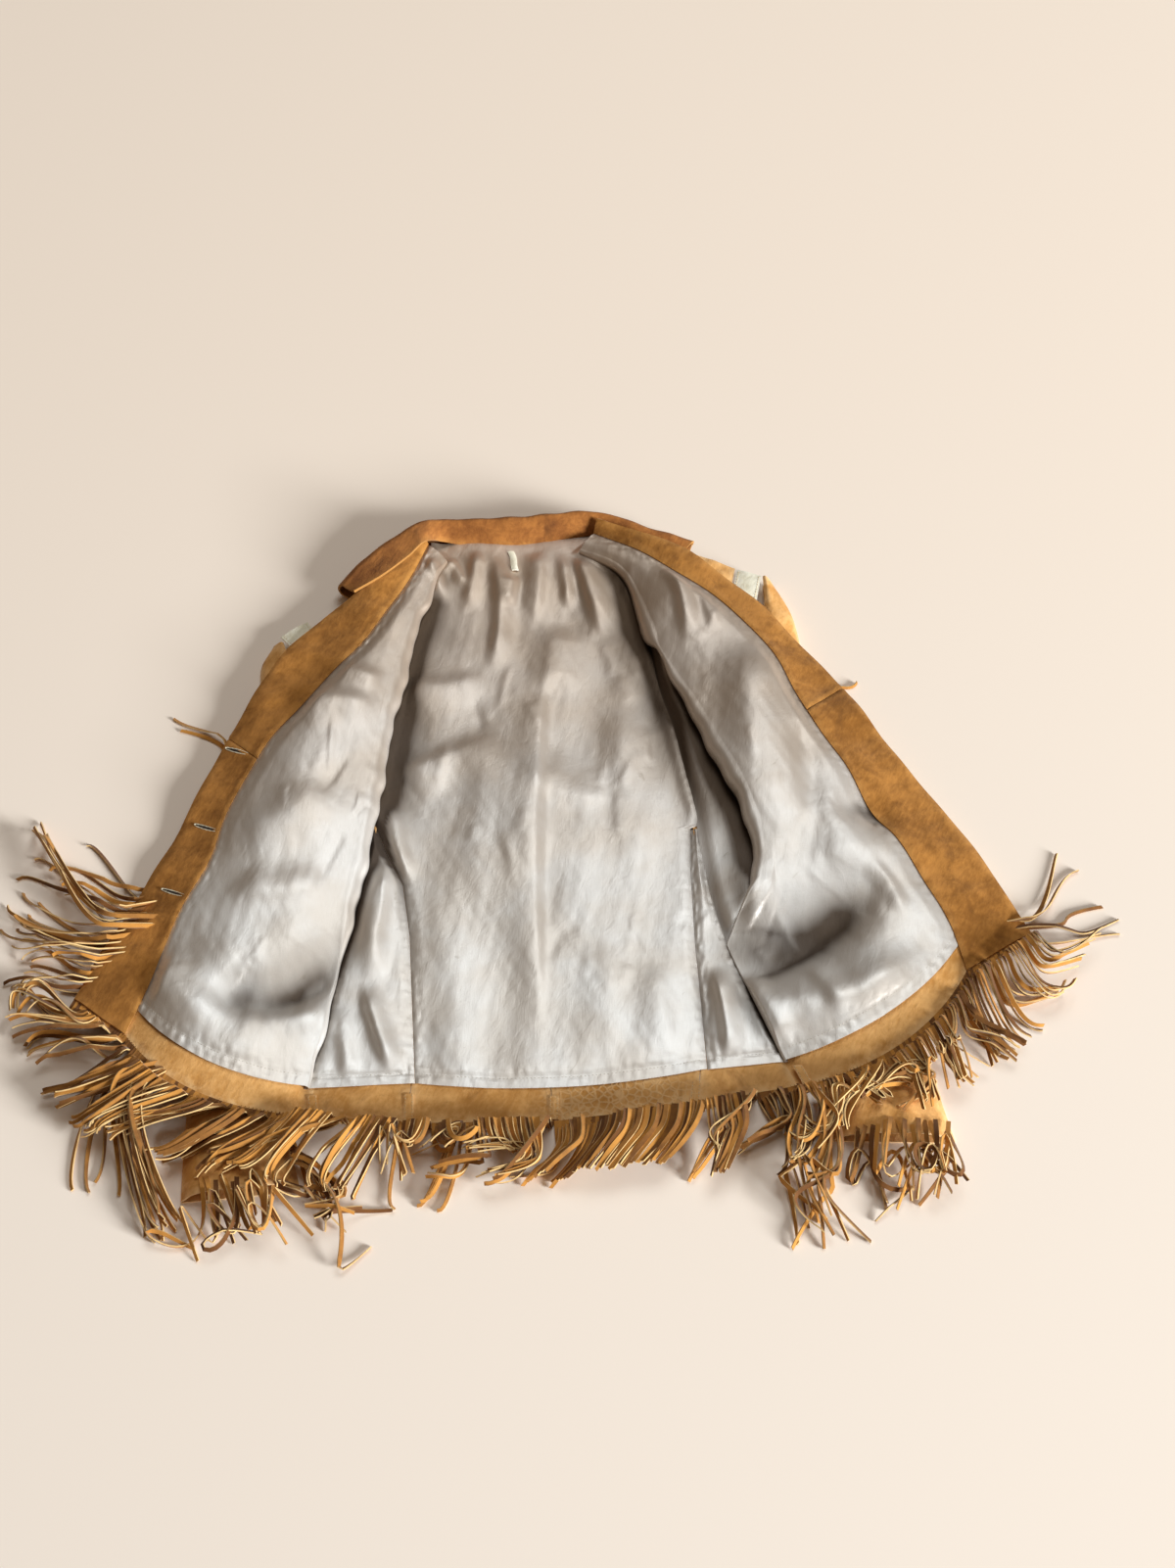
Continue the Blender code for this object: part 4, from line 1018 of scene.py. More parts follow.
@dataclass
class Front:
    """One front: hide below, lining and facing above, thrown open and lying face down.

    Its sections run from neck to hem, and its hollow says where the lining hangs over.
    """

    pattern: Pattern
    cloth: LiningCloth
    side: Side
    sections: Sequence
    hollow: Sequence

    def __post_init__(self) -> None:
        """Chooses the front's waves and measures its facing line."""
        self.hollow = np.array(self.hollow)
        self.wobble = Ripples(91 + self.side.value, 30.0, 110.0, 90.0, 10.0, 9)
        self.waves = Ripples(21 + self.side.value, 42.0, 150.0)
        self.length = float(row_reach(np.array(self.sections, float)[:, None, 3:6], 0)[-1, 0])

    def base(self, shares: Array, across: Array, hollowed: bool = True) -> Array:
        """Lower face of the hide.

        Args:
            shares: places down the front, 0 at the neck and 1 at the hem.
            across: for each row, 0 at the fold, 1 at the facing line and 2 at the edge.
            hollowed: whether it sinks where the lining hangs over.

        Returns:
            The lattice.
        """
        rows = spline(self.sections, shares)
        fold, face, edge = rows[:, None, 0:3], rows[:, None, 3:6], rows[:, None, 6:9]
        across = np.broadcast_to(across, (len(rows), np.shape(across)[-1]))[..., None]
        t, u = np.clip(across, 0.0, 1.0), np.clip(across - 1.0, 0.0, 1.0)
        spot = fold + (face - fold) * t + (edge - face) * u
        run = (face - fold)[..., :2]
        length = np.linalg.norm(run, axis=2, keepdims=True)
        out = run / length
        down = np.stack((out[..., 1], -out[..., 0]), -1) * np.sign(out[..., :1])
        swell = 4.0 * t * (1.0 - t)
        share = np.asarray(shares)[:, None, None]
        spot[..., :2] += down * HEM_BOW * share ** 3 * swell
        bulge = FRONT_BULGE + (HEM_BULGE - FRONT_BULGE) * share ** 2
        wave = self.waves.at(spot[..., :1], spot[..., 1:2]) * (0.5 + 1.3 * smooth(across - 0.7))
        spot[..., 2:] += bulge * swell * np.minimum(1.0, length / FULL_FRONT) - STACK
        for dip in DIPS:
            spot[..., 2] += crease_height(dip, spot[..., 0], spot[..., 1])
        if hollowed:
            over, keep = (np.interp(share, self.hollow[:, 0], self.hollow[:, k]) for k in (1, 2))
            root = self.root(shares)[:, None, None]
            climb = keep + (1.0 - keep) * smooth((t * length - over - 4.0) / 26.0)
            spot[..., 2:] = np.where(spot[..., 2:] > root, root + (spot[..., 2:] - root) * climb,
                                     spot[..., 2:])
        spot[..., 2:] += wave * smooth(across * 3.0)
        spot[..., 2:] = np.maximum(spot[..., 2:], 0.4)
        return spot

    def root(self, shares: Array) -> Array:
        """Height of the ground or back that the front rises from, along the fold."""
        y = spline(self.sections, shares)[:, 1]
        on_back = smooth((y - FLOOR_Y) / (UNDERARM_Y - FLOOR_Y))
        return (LEATHER + GAP) * on_back + neck_rise(y + ROOT_REACH)

    def climbed(self, z: Array, root: Array, reach: Array, length: Array) -> Array:
        """Heights of the hide where it climbs from its root, at a reach from the fold."""
        rise = np.maximum(11.0 * np.minimum(1.0, length / NARROW_FRONT), 1.0)
        return root + (z - root) * smooth((reach - 0.5) / rise)

    def widths(self, shares: Array) -> tuple:
        """Folds, unit directions from them to the facing, widths and roots at shares of the front."""
        rows = spline(self.sections, shares)
        run = rows[:, 3:5] - rows[:, 0:2]
        length = np.linalg.norm(run, axis=1)[:, None]
        return rows[:, 0:2], run / length, length, self.root(shares)[:, None]

    def hide(self) -> Array:
        """Middle of the hide: up from the side body, under the lining, to the front edge."""
        shares = np.linspace(0.0, 1.0, 230)
        _, out, length, root = self.widths(shares)
        rise = np.linspace(-5.0, 7.0, 9) * np.minimum(1.0, length / NARROW_FRONT)
        rest = rise[:, -1:] + (length - rise[:, -1:]) * np.linspace(0.0, 1.0, 46)[None, 1:]
        reach = np.concatenate((rise, rest), axis=1)
        edge = np.broadcast_to(1.0 + np.linspace(0.0, 1.0, 20)[None, 1:], (len(reach), 19))
        lattice = self.base(shares, np.concatenate((np.maximum(reach / length, 0.0), edge), axis=1))
        climb = lattice[:, :reach.shape[1]]
        climb[..., :2] += out[:, None, :] * np.minimum(reach, 0.0)[..., None]
        climb[..., 2] = self.climbed(climb[..., 2], root, reach, length)
        lattice[..., 2] += LEATHER / 2.0
        return lattice

    def lining(self) -> Array:
        """Middle of the lining: floor of the hollow, the roll over it, then out to the facing."""
        shares = np.linspace(0.0, 1.0 - HEM_BAND, 250)
        folds, out, length, root = self.widths(shares)
        over = np.interp(shares, self.hollow[:, 0], self.hollow[:, 1])[:, None]
        ends = over + 2.5 + 3.0 * np.minimum(1.0, over / 10.0)
        floor = self.lining_floor(shares, ends, length, out, root)
        under = self.base(shares, ends / length)
        climbed = self.climbed(under[..., 2], root, ends, length) - root
        under[..., 2] = root + climbed * smooth(over / 6.0) + LINING_LIFT
        top = self.base(shares, over / length, False)[:, 0, 2:] + LINING_LIFT
        rise = np.maximum(top - under[:, 0, 2:], 1.5)
        plane = self.lining_plane(shares, over, length, rise)
        lip, foot = plane[:, :1], under[:, 0, 2:]
        puff = (0.78 - 0.3 * smooth(over / 12.0)) * (1.0 + 0.25 * np.sin(shares * 31.0))[:, None]
        pull = rise * (1.0 + 0.25 * self.wobble.at(folds[:, 0:1], folds[:, 1:2]))
        belly = folds + out * (over - puff * pull)
        low = np.concatenate((belly, foot + 0.05 * rise), 1)[:, None]
        high = np.concatenate((lip[:, 0, :2] - out * 0.95 * pull, lip[:, 0, 2:] + 0.02 * rise), 1)[:, None]
        s = np.linspace(0.0, 1.0, 16)[:-1][None, :, None]
        roll = (1 - s) ** 3 * under + 3 * s * (1 - s) ** 2 * low + 3 * s * s * (1 - s) * high + s ** 3 * lip
        return np.concatenate((floor, roll, plane), axis=1)

    def lining_floor(self, shares: Array, ends: Array, length: Array, out: Array, root: Array) -> Array:
        """The lining's strip from the fold to the foot of its roll.

        Args:
            shares: places down the front.
            ends: width of the strip at each.
            length: width of the front at each.
            out: unit direction from the fold to the facing.
            root: height of what the fold rests on.

        Returns:
            The lattice.
        """
        creep = -1.0 + (ends + 1.0) * np.linspace(0.0, 1.0, 16)[None, :-1]
        floor = self.base(shares, np.maximum(creep, 0.0) / length)
        floor[..., :2] += out[:, None, :] * np.minimum(creep, 0.0)[..., None]
        slack = soft_floor(self.cloth.loft(floor[..., 0], floor[..., 1]) * 0.5)
        floor[..., 2] = (self.climbed(floor[..., 2], root, creep, length) + LINING_LIFT
                         - 0.3 * (1.0 - smooth((creep + 1.0) / 4.0)))
        floor[..., 2] += slack * smooth(creep / 14.0) * smooth((ends - creep) / 14.0)
        return floor

    def lining_plane(self, shares: Array, over: Array, length: Array, rise: Array) -> Array:
        """The lining from the lip of its roll to the facing, slack, creased and sewn at the hem.

        Args:
            shares: places down the front.
            over: how far out the lip stands at each.
            length: width of the front at each.
            rise: height of the roll at each.

        Returns:
            The lattice.
        """
        first = over + np.minimum(0.45 * rise, 0.3 * (length - over))
        t = np.concatenate((np.linspace(0.0, 0.955, 78), (0.972, 0.985, 0.993, 1.0)))[None, :]
        reach = first + (length - first) * t
        plane = self.base(shares, reach / length, False)
        x, y = plane[..., 0], plane[..., 1]
        seam, hem = length - reach, (1.0 - HEM_BAND - shares)[:, None] * self.length
        turned = hem - HEM_TURN
        swell = 2.4 * np.sin(np.pi * np.clip(reach / length, 0.0, 1.0)) * np.minimum(1.0, length / FULL_FRONT)
        hold = smooth(seam / 16.0) * (0.35 + 0.65 * smooth(hem / 26.0))
        lift = soft_floor((self.cloth.loft(x, y) + swell) * hold)
        for away, depth, fade in ((seam, 0.4, 9.0), (hem, 0.3, 9.0), (np.abs(turned), 0.35, 7.0)):
            lift += self.cloth.gathers(x, y, away, depth, fade)
        lift -= 0.5 * bell(turned, 1.3) + 0.9 * (1.0 - smooth(seam / 4.0))
        plane[..., 2] += LINING_LIFT + np.maximum(lift, -0.85)
        return plane

    def facing(self, first: float, last: float) -> Array:
        """Middle of a stretch of facing, its free edge turned down to the hide.

        Args:
            first: share where the stretch starts.
            last: share where it ends.

        Returns:
            The lattice.
        """
        shares = np.linspace(first, last, 130)
        u = np.concatenate(((0.0, 0.015, 0.04), np.linspace(0.08, 0.93, 26), (0.96, 0.98, 0.992, 1.0)))
        lattice = self.base(shares, 1.0 + u[None, :])
        across = row_reach(lattice, 1)
        seam, edge = across, across[:, -1:] - across
        puff = Ripples(31 + self.side.value, 16.0, 60.0).at(lattice[..., 0], lattice[..., 1])
        lift = LEATHER + GAP + FACING / 2 + 0.35 * (puff + 1.0) * smooth(seam / 8.0) * smooth(edge / 8.0)
        lift += 0.5 * bell(seam - 3.0, 2.6) - 0.55 * bell(edge, 1.8)
        for end in (first, last):
            away = np.abs(shares - end)[:, None] * self.length
            lift = lift + (0.45 * bell(away - 3.0, 2.4) - 0.35 * bell(away, 1.0)) * (0.0 < end < 1.0)
        lattice[..., 2] += lift
        return lattice

    def build(self) -> dict:
        """Makes the front's four pieces.

        Returns:
            The lattices under "hide", "lining", "upper" and "lower", and the lining under "cloth".
        """
        word, wall = self.side.word, self.pattern.wall
        made = {"hide": self.hide(), "lining": self.lining(),
                "upper": self.facing(0.0, 0.5), "lower": self.facing(0.502, 1.0)}
        thick = np.full(made["lining"].shape[:2], LINING)
        thick[:, -3:] = SEWN_LINING
        wall(f"{word}_front_hide", made["hide"], LEATHER, SHELL, [f"front_{word}"])
        made["cloth"] = wall(f"{word}_front_lining", made["lining"], thick, SATIN, [f"lining_front_{word}"])
        for part in ("upper", "lower"):
            wall(f"{word}_facing_{part}", made[part], FACING, SUEDE, [f"facing_{part}_{word}"])
        return made


@dataclass
class Body:
    """Back, side bodies and their lining, which lie flat under the open fronts."""

    pattern: Pattern
    cloth: LiningCloth
    fronts: dict
    waves: Ripples = Ripples(51, 26.0, 80.0)

    def back(self, edge: Sequence) -> Array:
        """Middle of half the back's hide."""
        shares = np.linspace(0.0, 1.0, 150)
        centre, side = along(BACK_CENTRE, shares), along(edge, shares)
        centre[:, 0] += 0.3 * np.sign(side[-1, 0])
        plan = spanned(centre, side, np.linspace(0.0, 1.0, 40))
        return raised(plan, neck_rise(plan[..., 1]) + self.flared(plan, shares))

    def flared(self, plan: Array, shares: Array) -> Array:
        """Height of the middle of a hide on the ground, gently wavy near its hem."""
        wave = 0.5 * (self.waves.at(plan[..., 0], plan[..., 1]) + 1.0)
        return LEATHER / 2 + wave * smooth(shares * 8 - 7)[:, None]

    def side(self, front: Front, edge: Sequence) -> Array:
        """Middle of a side body's hide, from the back's seam to the front's fold."""
        rows = spline(front.sections, np.linspace(0.0, 1.0, 400))
        rows = rows[rows[:, 1] < SIDE_TOP_Y][::3]
        sign = front.side.value
        outer = rows[:, 0:2] - np.array((sign * 0.5, 0.0))
        drop, y = self.dropped(outer, edge)
        inner = np.stack((x_at(edge, y) + sign * (0.6 + 2.0 * (1.0 - drop)), y), -1)
        plan = spanned(inner, outer, np.linspace(0.0, 1.0, 16))
        return raised(plan, self.flared(plan, drop))

    def dropped(self, outer: Array, seam: Sequence) -> tuple:
        """How far down each point of a side's outer line is, and its seam's height there."""
        drop = smooth((outer[:, 1] - outer[0, 1]) / (outer[-1, 1] - outer[0, 1]))
        return drop, outer[:, 1] + (seam[-1].y - outer[-1, 1]) * drop

    def lining_ends(self, front: Front, y: Array) -> Array:
        """Where the back lining ends: the front's fold and, lower down, its side seam.

        Args:
            front: the front on that side.
            y: heights of the plan.

        Returns:
            The place across for each height.
        """
        seam, at_neck = LINING_SEAMS[front.side], NECK_REACH[front.side]
        inward = -front.side.value
        reach = smooth((y - front.sections[0].fold_y + 2.0) / 24.0) * at_neck
        fold = x_at(spline(front.sections, np.linspace(0.0, 1.0, 200)), y)
        x_fold = fold - inward * (LINING_TUCK + reach)
        x_seam = x_at(seam, y)
        return np.where(y < seam[0].y, inward * np.maximum(inward * x_fold, inward * x_seam), x_fold)

    def dressed(self, plan: Array, seams: Array, hem: Array) -> Array:
        """Lays lining on the body.

        Args:
            plan: lattice of plan points.
            seams: distance of each point from the nearest sewn side seam.
            hem: distance of each point from the hem.

        Returns:
            The lattice with its heights.
        """
        x, y = plan[..., 0], plan[..., 1]
        hold = smooth(seams / 9.0) * (0.3 + 0.7 * smooth(hem / 24.0))
        lift = soft_floor(self.cloth.loft(x, y) * hold)
        lift += self.cloth.gathers(x, y, seams, 0.35, 7.0)
        lift += self.cloth.gathers(x, y, np.abs(hem - HEM_TURN), 0.35, 7.0)
        lift -= 0.8 * bell(hem - HEM_TURN, 1.3) + 0.5 * bell(seams, 1.4)
        return raised(plan, neck_rise(y + ROOT_REACH) + LINING_LIFT + np.maximum(lift, -0.75))

    def back_lining(self) -> Array:
        """Middle of the back lining."""
        shares = np.linspace(0.0, 1.0, 260)
        ends = []
        for side, top, low in zip((Side.RIGHT, Side.LEFT), LINING_TOP, LINING_HEM):
            y = top.y + (low.y - top.y) * shares
            ends.append(np.stack((self.lining_ends(self.fronts[side], y), y), -1))
        t = np.linspace(0.0, 1.0, 120)
        plan = spanned(*ends, t)
        sag = LINING_SAG_TOP * (1 - smooth(shares * 4)) + LINING_SAG_HEM * smooth(shares * 2 - 1)
        plan[..., 1] += sag[:, None] * (4.0 * t * (1.0 - t))[None, :]
        sewn = to_edge(row_reach(plan, 1))
        low = smooth((-30.0 - plan[..., 1]) / 30.0)
        seams = sewn * low + (sewn + 4.0) * (1.0 - low)
        hem = (1.0 - shares)[:, None] * BACK_LINING_LENGTH
        lattice = self.dressed(plan, seams, np.broadcast_to(hem, seams.shape))
        lattice[..., 2] += 2.4 * (1.0 - smooth(sewn / 12.0)) * (1.0 - low)
        return lattice

    def side_lining(self, front: Front) -> Array:
        """Middle of a side lining, from its sewn seam to beneath the front's roll."""
        seam, sign = LINING_SEAMS[front.side], front.side.value
        rows = spline(front.sections, np.linspace(0.0, 1.0 - HEM_BAND, 300))
        rows = rows[rows[:, 1] < seam[0].y - 2.0]
        outer = rows[:, 0:2] + np.array((sign * 1.0, 0.0))
        _, y = self.dropped(outer, seam)
        inner = np.stack((x_at(seam, y) + sign * 0.5, y), -1)
        plan = spanned(inner, outer, np.linspace(0.0, 1.0, 40))
        across = row_reach(plan, 1)
        seams = np.minimum(across, across[:, -1:] - across + 1.0)
        down = row_reach(plan, 0)
        return self.dressed(plan, seams, down[-1:] - down)

    def build(self) -> dict:
        """Makes the body's pieces.

        Returns:
            The lattices under "back_", "side_" and "cloth_" with the side's word, the back
            lining's under "cloth", and the lining's pieces under "pieces".
        """
        made, sides = {}, []
        wall = self.pattern.wall
        for side, front in self.fronts.items():
            word = side.word
            made[f"back_{word}"] = self.back(BACK_EDGES[side])
            made[f"side_{word}"] = self.side(front, BACK_EDGES[side])
            made[f"cloth_{word}"] = self.side_lining(front)
            wall(f"{word}_back_hide", made[f"back_{word}"], LEATHER, SHELL, [f"back_{word}"])
            wall(f"{word}_side_hide", made[f"side_{word}"], LEATHER, SHELL, [f"side_body_{word}"])
            sides.append(wall(f"{word}_side_lining", made[f"cloth_{word}"], LINING, SATIN,
                              [f"lining_side_{word}"]))
        made["cloth"] = self.back_lining()
        made["pieces"] = [wall("back_lining", made["cloth"], LINING, SATIN, ["lining_back"]), *sides]
        return made


@dataclass
class Sleeve:
    """One sleeve lying flat beneath its front, open at the cuff; roof is the front's underside."""

    pattern: Pattern
    side: Side
    arm: Sequence
    roof: Relief

    def build(self) -> Array:
        """Makes the upper and the lower sheet.

        Returns:
            The upper sheet's lattice.
        """
        rows = spline(self.arm, np.linspace(0.0, 1.0, 130))
        t = np.concatenate(((0.0, 0.006, 0.02), np.linspace(0.045, 0.955, 44), (0.98, 0.994, 1.0)))
        plan = spanned(rows[:, 0:2], rows[:, 2:4], t)
        x, y = plan[..., 0], plan[..., 1]
        arch = rows[:, 4:5] * (1.0 - (2.0 * t - 1.0) ** 4)[None, :]
        lean = rows[:, 5:6] * (1.0 - t)[None, :]
        wave = Ripples(61 + self.side.value, 18.0, 70.0).at(x, y)
        wave = wave * smooth(np.minimum(t, 1 - t) * 8)[None, :]
        z = np.minimum(arch + lean + 1.1 * wave * np.minimum(1.0, arch / 6.0), self.roof.at(x, y) - 3.4)
        top = raised(plan, LEATHER / 2 + LEATHER + 0.1 + np.maximum(z, 0.0))
        under = raised(plan, LEATHER / 2)
        word = self.side.word
        self.pattern.wall(f"{word}_sleeve_upper", top, LEATHER, SHELL, [f"sleeve_top_{word}"])
        self.pattern.wall(f"{word}_sleeve_under", under, LEATHER, SHELL, [f"sleeve_under_{word}"])
        return top


@dataclass
class Collar:
    """Collar standing up round the neck, rolled over and tucked beneath it."""

    pattern: Pattern
    rows: int = 210
    columns: int = 60

    def build(self) -> None:
        """Makes the collar: up from its seam, over the roll and down to its edge."""
        rows = spline(COLLAR_ROWS, np.linspace(0.0, 1.0, self.rows))
        seam, top, edge = rows[:, 0:3], rows[:, 3:6], rows[:, 6:9]
        out = top[:, :2] - seam[:, :2]
        reach = np.maximum(np.linalg.norm(out, axis=1, keepdims=True), 1.0)
        out = out / reach
        stand = top[:, 2:] - seam[:, 2:]
        back = np.minimum(5.0, 0.35 * reach)
        low = np.where(edge[:, 2:] < 4.0, np.maximum(edge[:, 2:] + 2.0, 4.5), edge[:, 2:] + 1.0)
        low = np.minimum(low, top[:, 2:] - 2.0)
        fall = top[:, 2:] - low
        profile = ((seam[:, :2], seam[:, 2:]),
                   (seam[:, :2] + out * 0.40 * reach, seam[:, 2:] + 0.55 * stand),
                   (seam[:, :2] + out * 0.75 * reach, seam[:, 2:] + 0.90 * stand),
                   (top[:, :2] + out * 0.10 * back, top[:, 2:]),
                   (top[:, :2] + out * 0.90 * back, top[:, 2:] - 0.22 * fall),
                   (top[:, :2] + out * 1.25 * back, low + 0.35 * fall),
                   (top[:, :2] + out * 1.10 * back, low),
                   (top[:, :2] + out * 0.30 * back, edge[:, 2:] + 0.15 * (low - edge[:, 2:])),
                   (edge[:, :2], edge[:, 2:]))
        knots = np.stack([np.concatenate(pair, 1).ravel() for pair in profile])
        shares = np.linspace(0.0, 1.0, self.columns)
        middle = spline(knots, shares).reshape(self.columns, -1, 3).transpose(1, 0, 2)
        wave = Ripples(71, 22.0, 70.0).at(middle[..., 0], middle[..., 1] + middle[..., 2] * 2.0)
        middle = middle + unit(faced(middle)) * (wave * smooth(shares * 8) * 0.5)[..., None]
        self.pattern.wall("collar_roll", middle, COLLAR, COLLAR_HIDE, ["collar"], rim=4.0)


@dataclass
class Shoulder:
    """Shoulder piece and cream band over the top of one armhole."""

    pattern: Pattern
    side: Side
    piece: Sequence
    band: Sequence
    crown: float = 1.5

    def strip(self, edges: Sequence) -> Array:
        """Middle of a slightly crowned strip between its far and near edge.

        Args:
            edges: the strip's rows.

        Returns:
            The lattice.
        """
        rows = spline(edges, np.linspace(0.0, 1.0, 48))
        t = np.linspace(0.0, 1.0, 36)
        plan = spanned(rows[:, 0:2], rows[:, 2:4], t)
        wave = Ripples(81, 14.0, 40.0).at(plan[..., 0], plan[..., 1])
        arch = self.crown * (1 - (2 * t - 1) ** 2)[None, :]
        return raised(plan, rows[:, 4:5] + LEATHER / 2 + arch + 0.35 * wave)

    def build(self) -> None:
        """Makes the shoulder piece, the band and the band's stitching."""
        word = self.side.word
        self.pattern.wall(f"{word}_shoulder", self.strip(self.piece), LEATHER, SHELL, [f"shoulder_{word}"])
        band = self.strip(self.band)
        self.pattern.wall(f"{word}_shoulder_band", band, LEATHER, CREAM, [f"shoulder_band_{word}"])
        face = band + normals(band) * (LEATHER / 2 + 0.1)
        self.pattern.stitches(f"{word}_band_stitches", [face[k, 1:-1] for k in (4, -5)], PALE_THREAD)


@dataclass
class Loop:
    """Hanger loop lying on the back lining at the neck."""

    pattern: Pattern
    lining: Array
    width: float = 6.0
    wall: float = 1.1

    def build(self) -> None:
        """Makes the loop, its two ends sewn together and its middle a little open."""
        ground = pressed([self.lining])
        centre = along(LOOP_POINTS, np.linspace(0.0, 1.0, 40))
        centre[:, 0] += 1.2 * np.sin(np.linspace(0.0, 5.0, 40))
        plan = widened_line(centre, self.width, np.linspace(-1, 1, 9))
        height = ground.at(plan[..., 0], plan[..., 1]).max(axis=1, keepdims=True) + 0.9
        height = height + 0.6 * np.cos(np.linspace(-1.4, 1.4, 9))[None, :]
        height = np.stack([averaged(column, 9) for column in height.T], -1)
        self.pattern.wall("hanger_strip", raised(plan, height), self.wall, CREAM, ["hanger_loop"], rim=1.2)


@dataclass
class Button:
    """Round horn button sewn beneath the left front.

    Its number is 1 at the top, spot is the middle of its upper face and up the way it faces.
    """

    pattern: Pattern
    number: int
    spot: Array
    up: Array
    radius: float = 9.5
    sides: int = 40
    profile: tuple = ((0.55, 0.0), (0.86, 0.0), (0.96, 0.35), (1.0, 0.9), (1.0, 2.3), (0.95, 3.0),
                      (0.86, 3.4), (0.70, 3.3), (0.62, 2.9), (0.3, 2.8))

    def build(self) -> None:
        """Makes the button as a turned shape, its profile going from the face to the underside."""
        side = unit(np.cross(self.up, (0.0, 1.0, 0.0)))
        ahead = np.cross(self.up, side)
        turns = np.linspace(0.0, math.tau, self.sides, endpoint=False)
        points = [self.spot + self.radius * size * (math.cos(a) * side + math.sin(a) * ahead)
                  - self.up * depth for size, depth in self.profile for a in turns]
        faces = [(a, d, c, b) for a, b, c, d in tube(len(self.profile), self.sides)]
        face, under = len(points), len(points) + 1
        points += [self.spot - self.up * self.profile[k][1] for k in (0, -1)]
        last = face - self.sides
        for k in range(self.sides):
            after = (k + 1) % self.sides
            faces += [(face, k, after), (under, last + after, last + k)]
        self.pattern.piece(f"horn_button_{self.number}", points, faces, HORN, [f"button_{self.number}"])


# ======== fringe
# Runs of hem fringe from the right front's corner round to the left one: the shares of the
# hem that a run covers, where its first and last tips lie, the turn that its strands take on
# the way in degrees, and how far tips stray.
HemRun = namedtuple("HemRun", "first last x0 y0 x1 y1 bow stray")
HEM_RUNS = tabled(HemRun, (
    (0.000, 0.030, -468, -226, -468, -250, 70, 6), (0.030, 0.070, -470, -262, -458, -292, 45, 8),
    (0.070, 0.115, -448, -302, -440, -345, 15, 10), (0.115, 0.165, -425, -345, -392, -392, -30, 15),
    (0.165, 0.215, -396, -370, -350, -400, -50, 17), (0.215, 0.262, -342, -388, -302, -414, -40, 18),
    (0.262, 0.310, -300, -392, -262, -416, -45, 15), (0.310, 0.357, -222, -402, -178, -420, 30, 15),
    (0.357, 0.410, -186, -384, -122, -410, -35, 13), (0.410, 0.490, -128, -384, -62, -409, -45, 7),
    (0.490, 0.620, -52, -408, 62, -405, -12, 2), (0.620, 0.660, 86, -400, 110, -394, 0, 6),
    (0.660, 0.715, 116, -394, 150, -384, 20, 12), (0.715, 0.770, 148, -378, 206, -350, -45, 17),
    (0.770, 0.820, 214, -354, 258, -332, -25, 15), (0.820, 0.880, 268, -340, 312, -312, 15, 9),
    (0.880, 0.940, 322, -300, 364, -262, 22, 8), (0.940, 0.975, 372, -250, 405, -222, 35, 8),
    (0.975, 1.000, 416, -208, 442, -170, 12, 7)))

# Runs of sleeve fringe: from the sleeve's seam, past a way point under the front's edge, to
# the tips, each from its first strand to its last.
SleeveRun = namedtuple("SleeveRun", "side count x0 y0 x1 y1 way_x0 way_y0 way_x1 way_y1 "
                                    "tip_x0 tip_y0 tip_x1 tip_y1 bow stray")
SLEEVE_RUNS = tabled(SleeveRun, (
    ("right", 10, -316, -200, -310, -150, -418, -224, -404, -190, -466, -214, -476, -176, 60, 13),
    ("right", 10, -312, -160, -306, -110, -404, -190, -392, -160, -470, -170, -474, -128, -60, 14),
    ("right", 9, -308, -120, -304, -70, -394, -164, -376, -116, -452, -120, -446, -84, 70, 14),
    ("right", 7, -310, -150, -308, -130, -398, -172, -392, -156, -480, -54, -468, -66, 12, 5),
    ("right", 13, -324, -300, -322, -280, -372, -306, -352, -322, -336, -452, -312, -438, 30, 6),
    ("right", 4, -320, -290, -320, -280, -384, -298, -366, -312, -412, -402, -372, -414, 20, 10),
    ("right", 11, -306, -404, -244, -400, -304, -412, -242, -410, -302, -458, -226, -450, 10, 9),
    ("right", 9, -236, -360, -232, -392, -230, -372, -222, -398, -208, -424, -168, -446, 35, 13),
    ("right", 2, -306, -64, -304, -58, -322, 34, -320, 38, -363, 56, -372, 77, 10, 1),
    ("left", 1, 214, 2, 215, 4, 224, 99, 225, 101, 243, 116, 244, 118, 6, 1),
    ("left", 4, 250, -150, 255, -170, 368, -150, 372, -160, 404, -74, 446, -152, 20, 6),
    ("left", 15, 214, -350, 290, -352, 212, -362, 290, -362, 224, -424, 290, -418, 8, 8),
    ("left", 12, 196, -326, 196, -350, 190, -340, 198, -362, 160, -456, 214, -442, 20, 11)))

# Where one stretch of fringe ends and the next begins, as shares of the hem.
Stretch = namedtuple("Stretch", "name node last")
STRETCHES = tabled(Stretch, (
    ("right_front_fringe", "hem_fringe_front_right", 0.262),
    ("right_side_fringe", "hem_fringe_side_right", 0.357),
    ("right_back_fringe", "hem_fringe_back_right", 0.490),
    ("left_back_fringe", "hem_fringe_back_left", 0.620),
    ("left_side_fringe", "hem_fringe_side_left", 0.715),
    ("left_front_fringe", "hem_fringe_front_left", 1.001)))


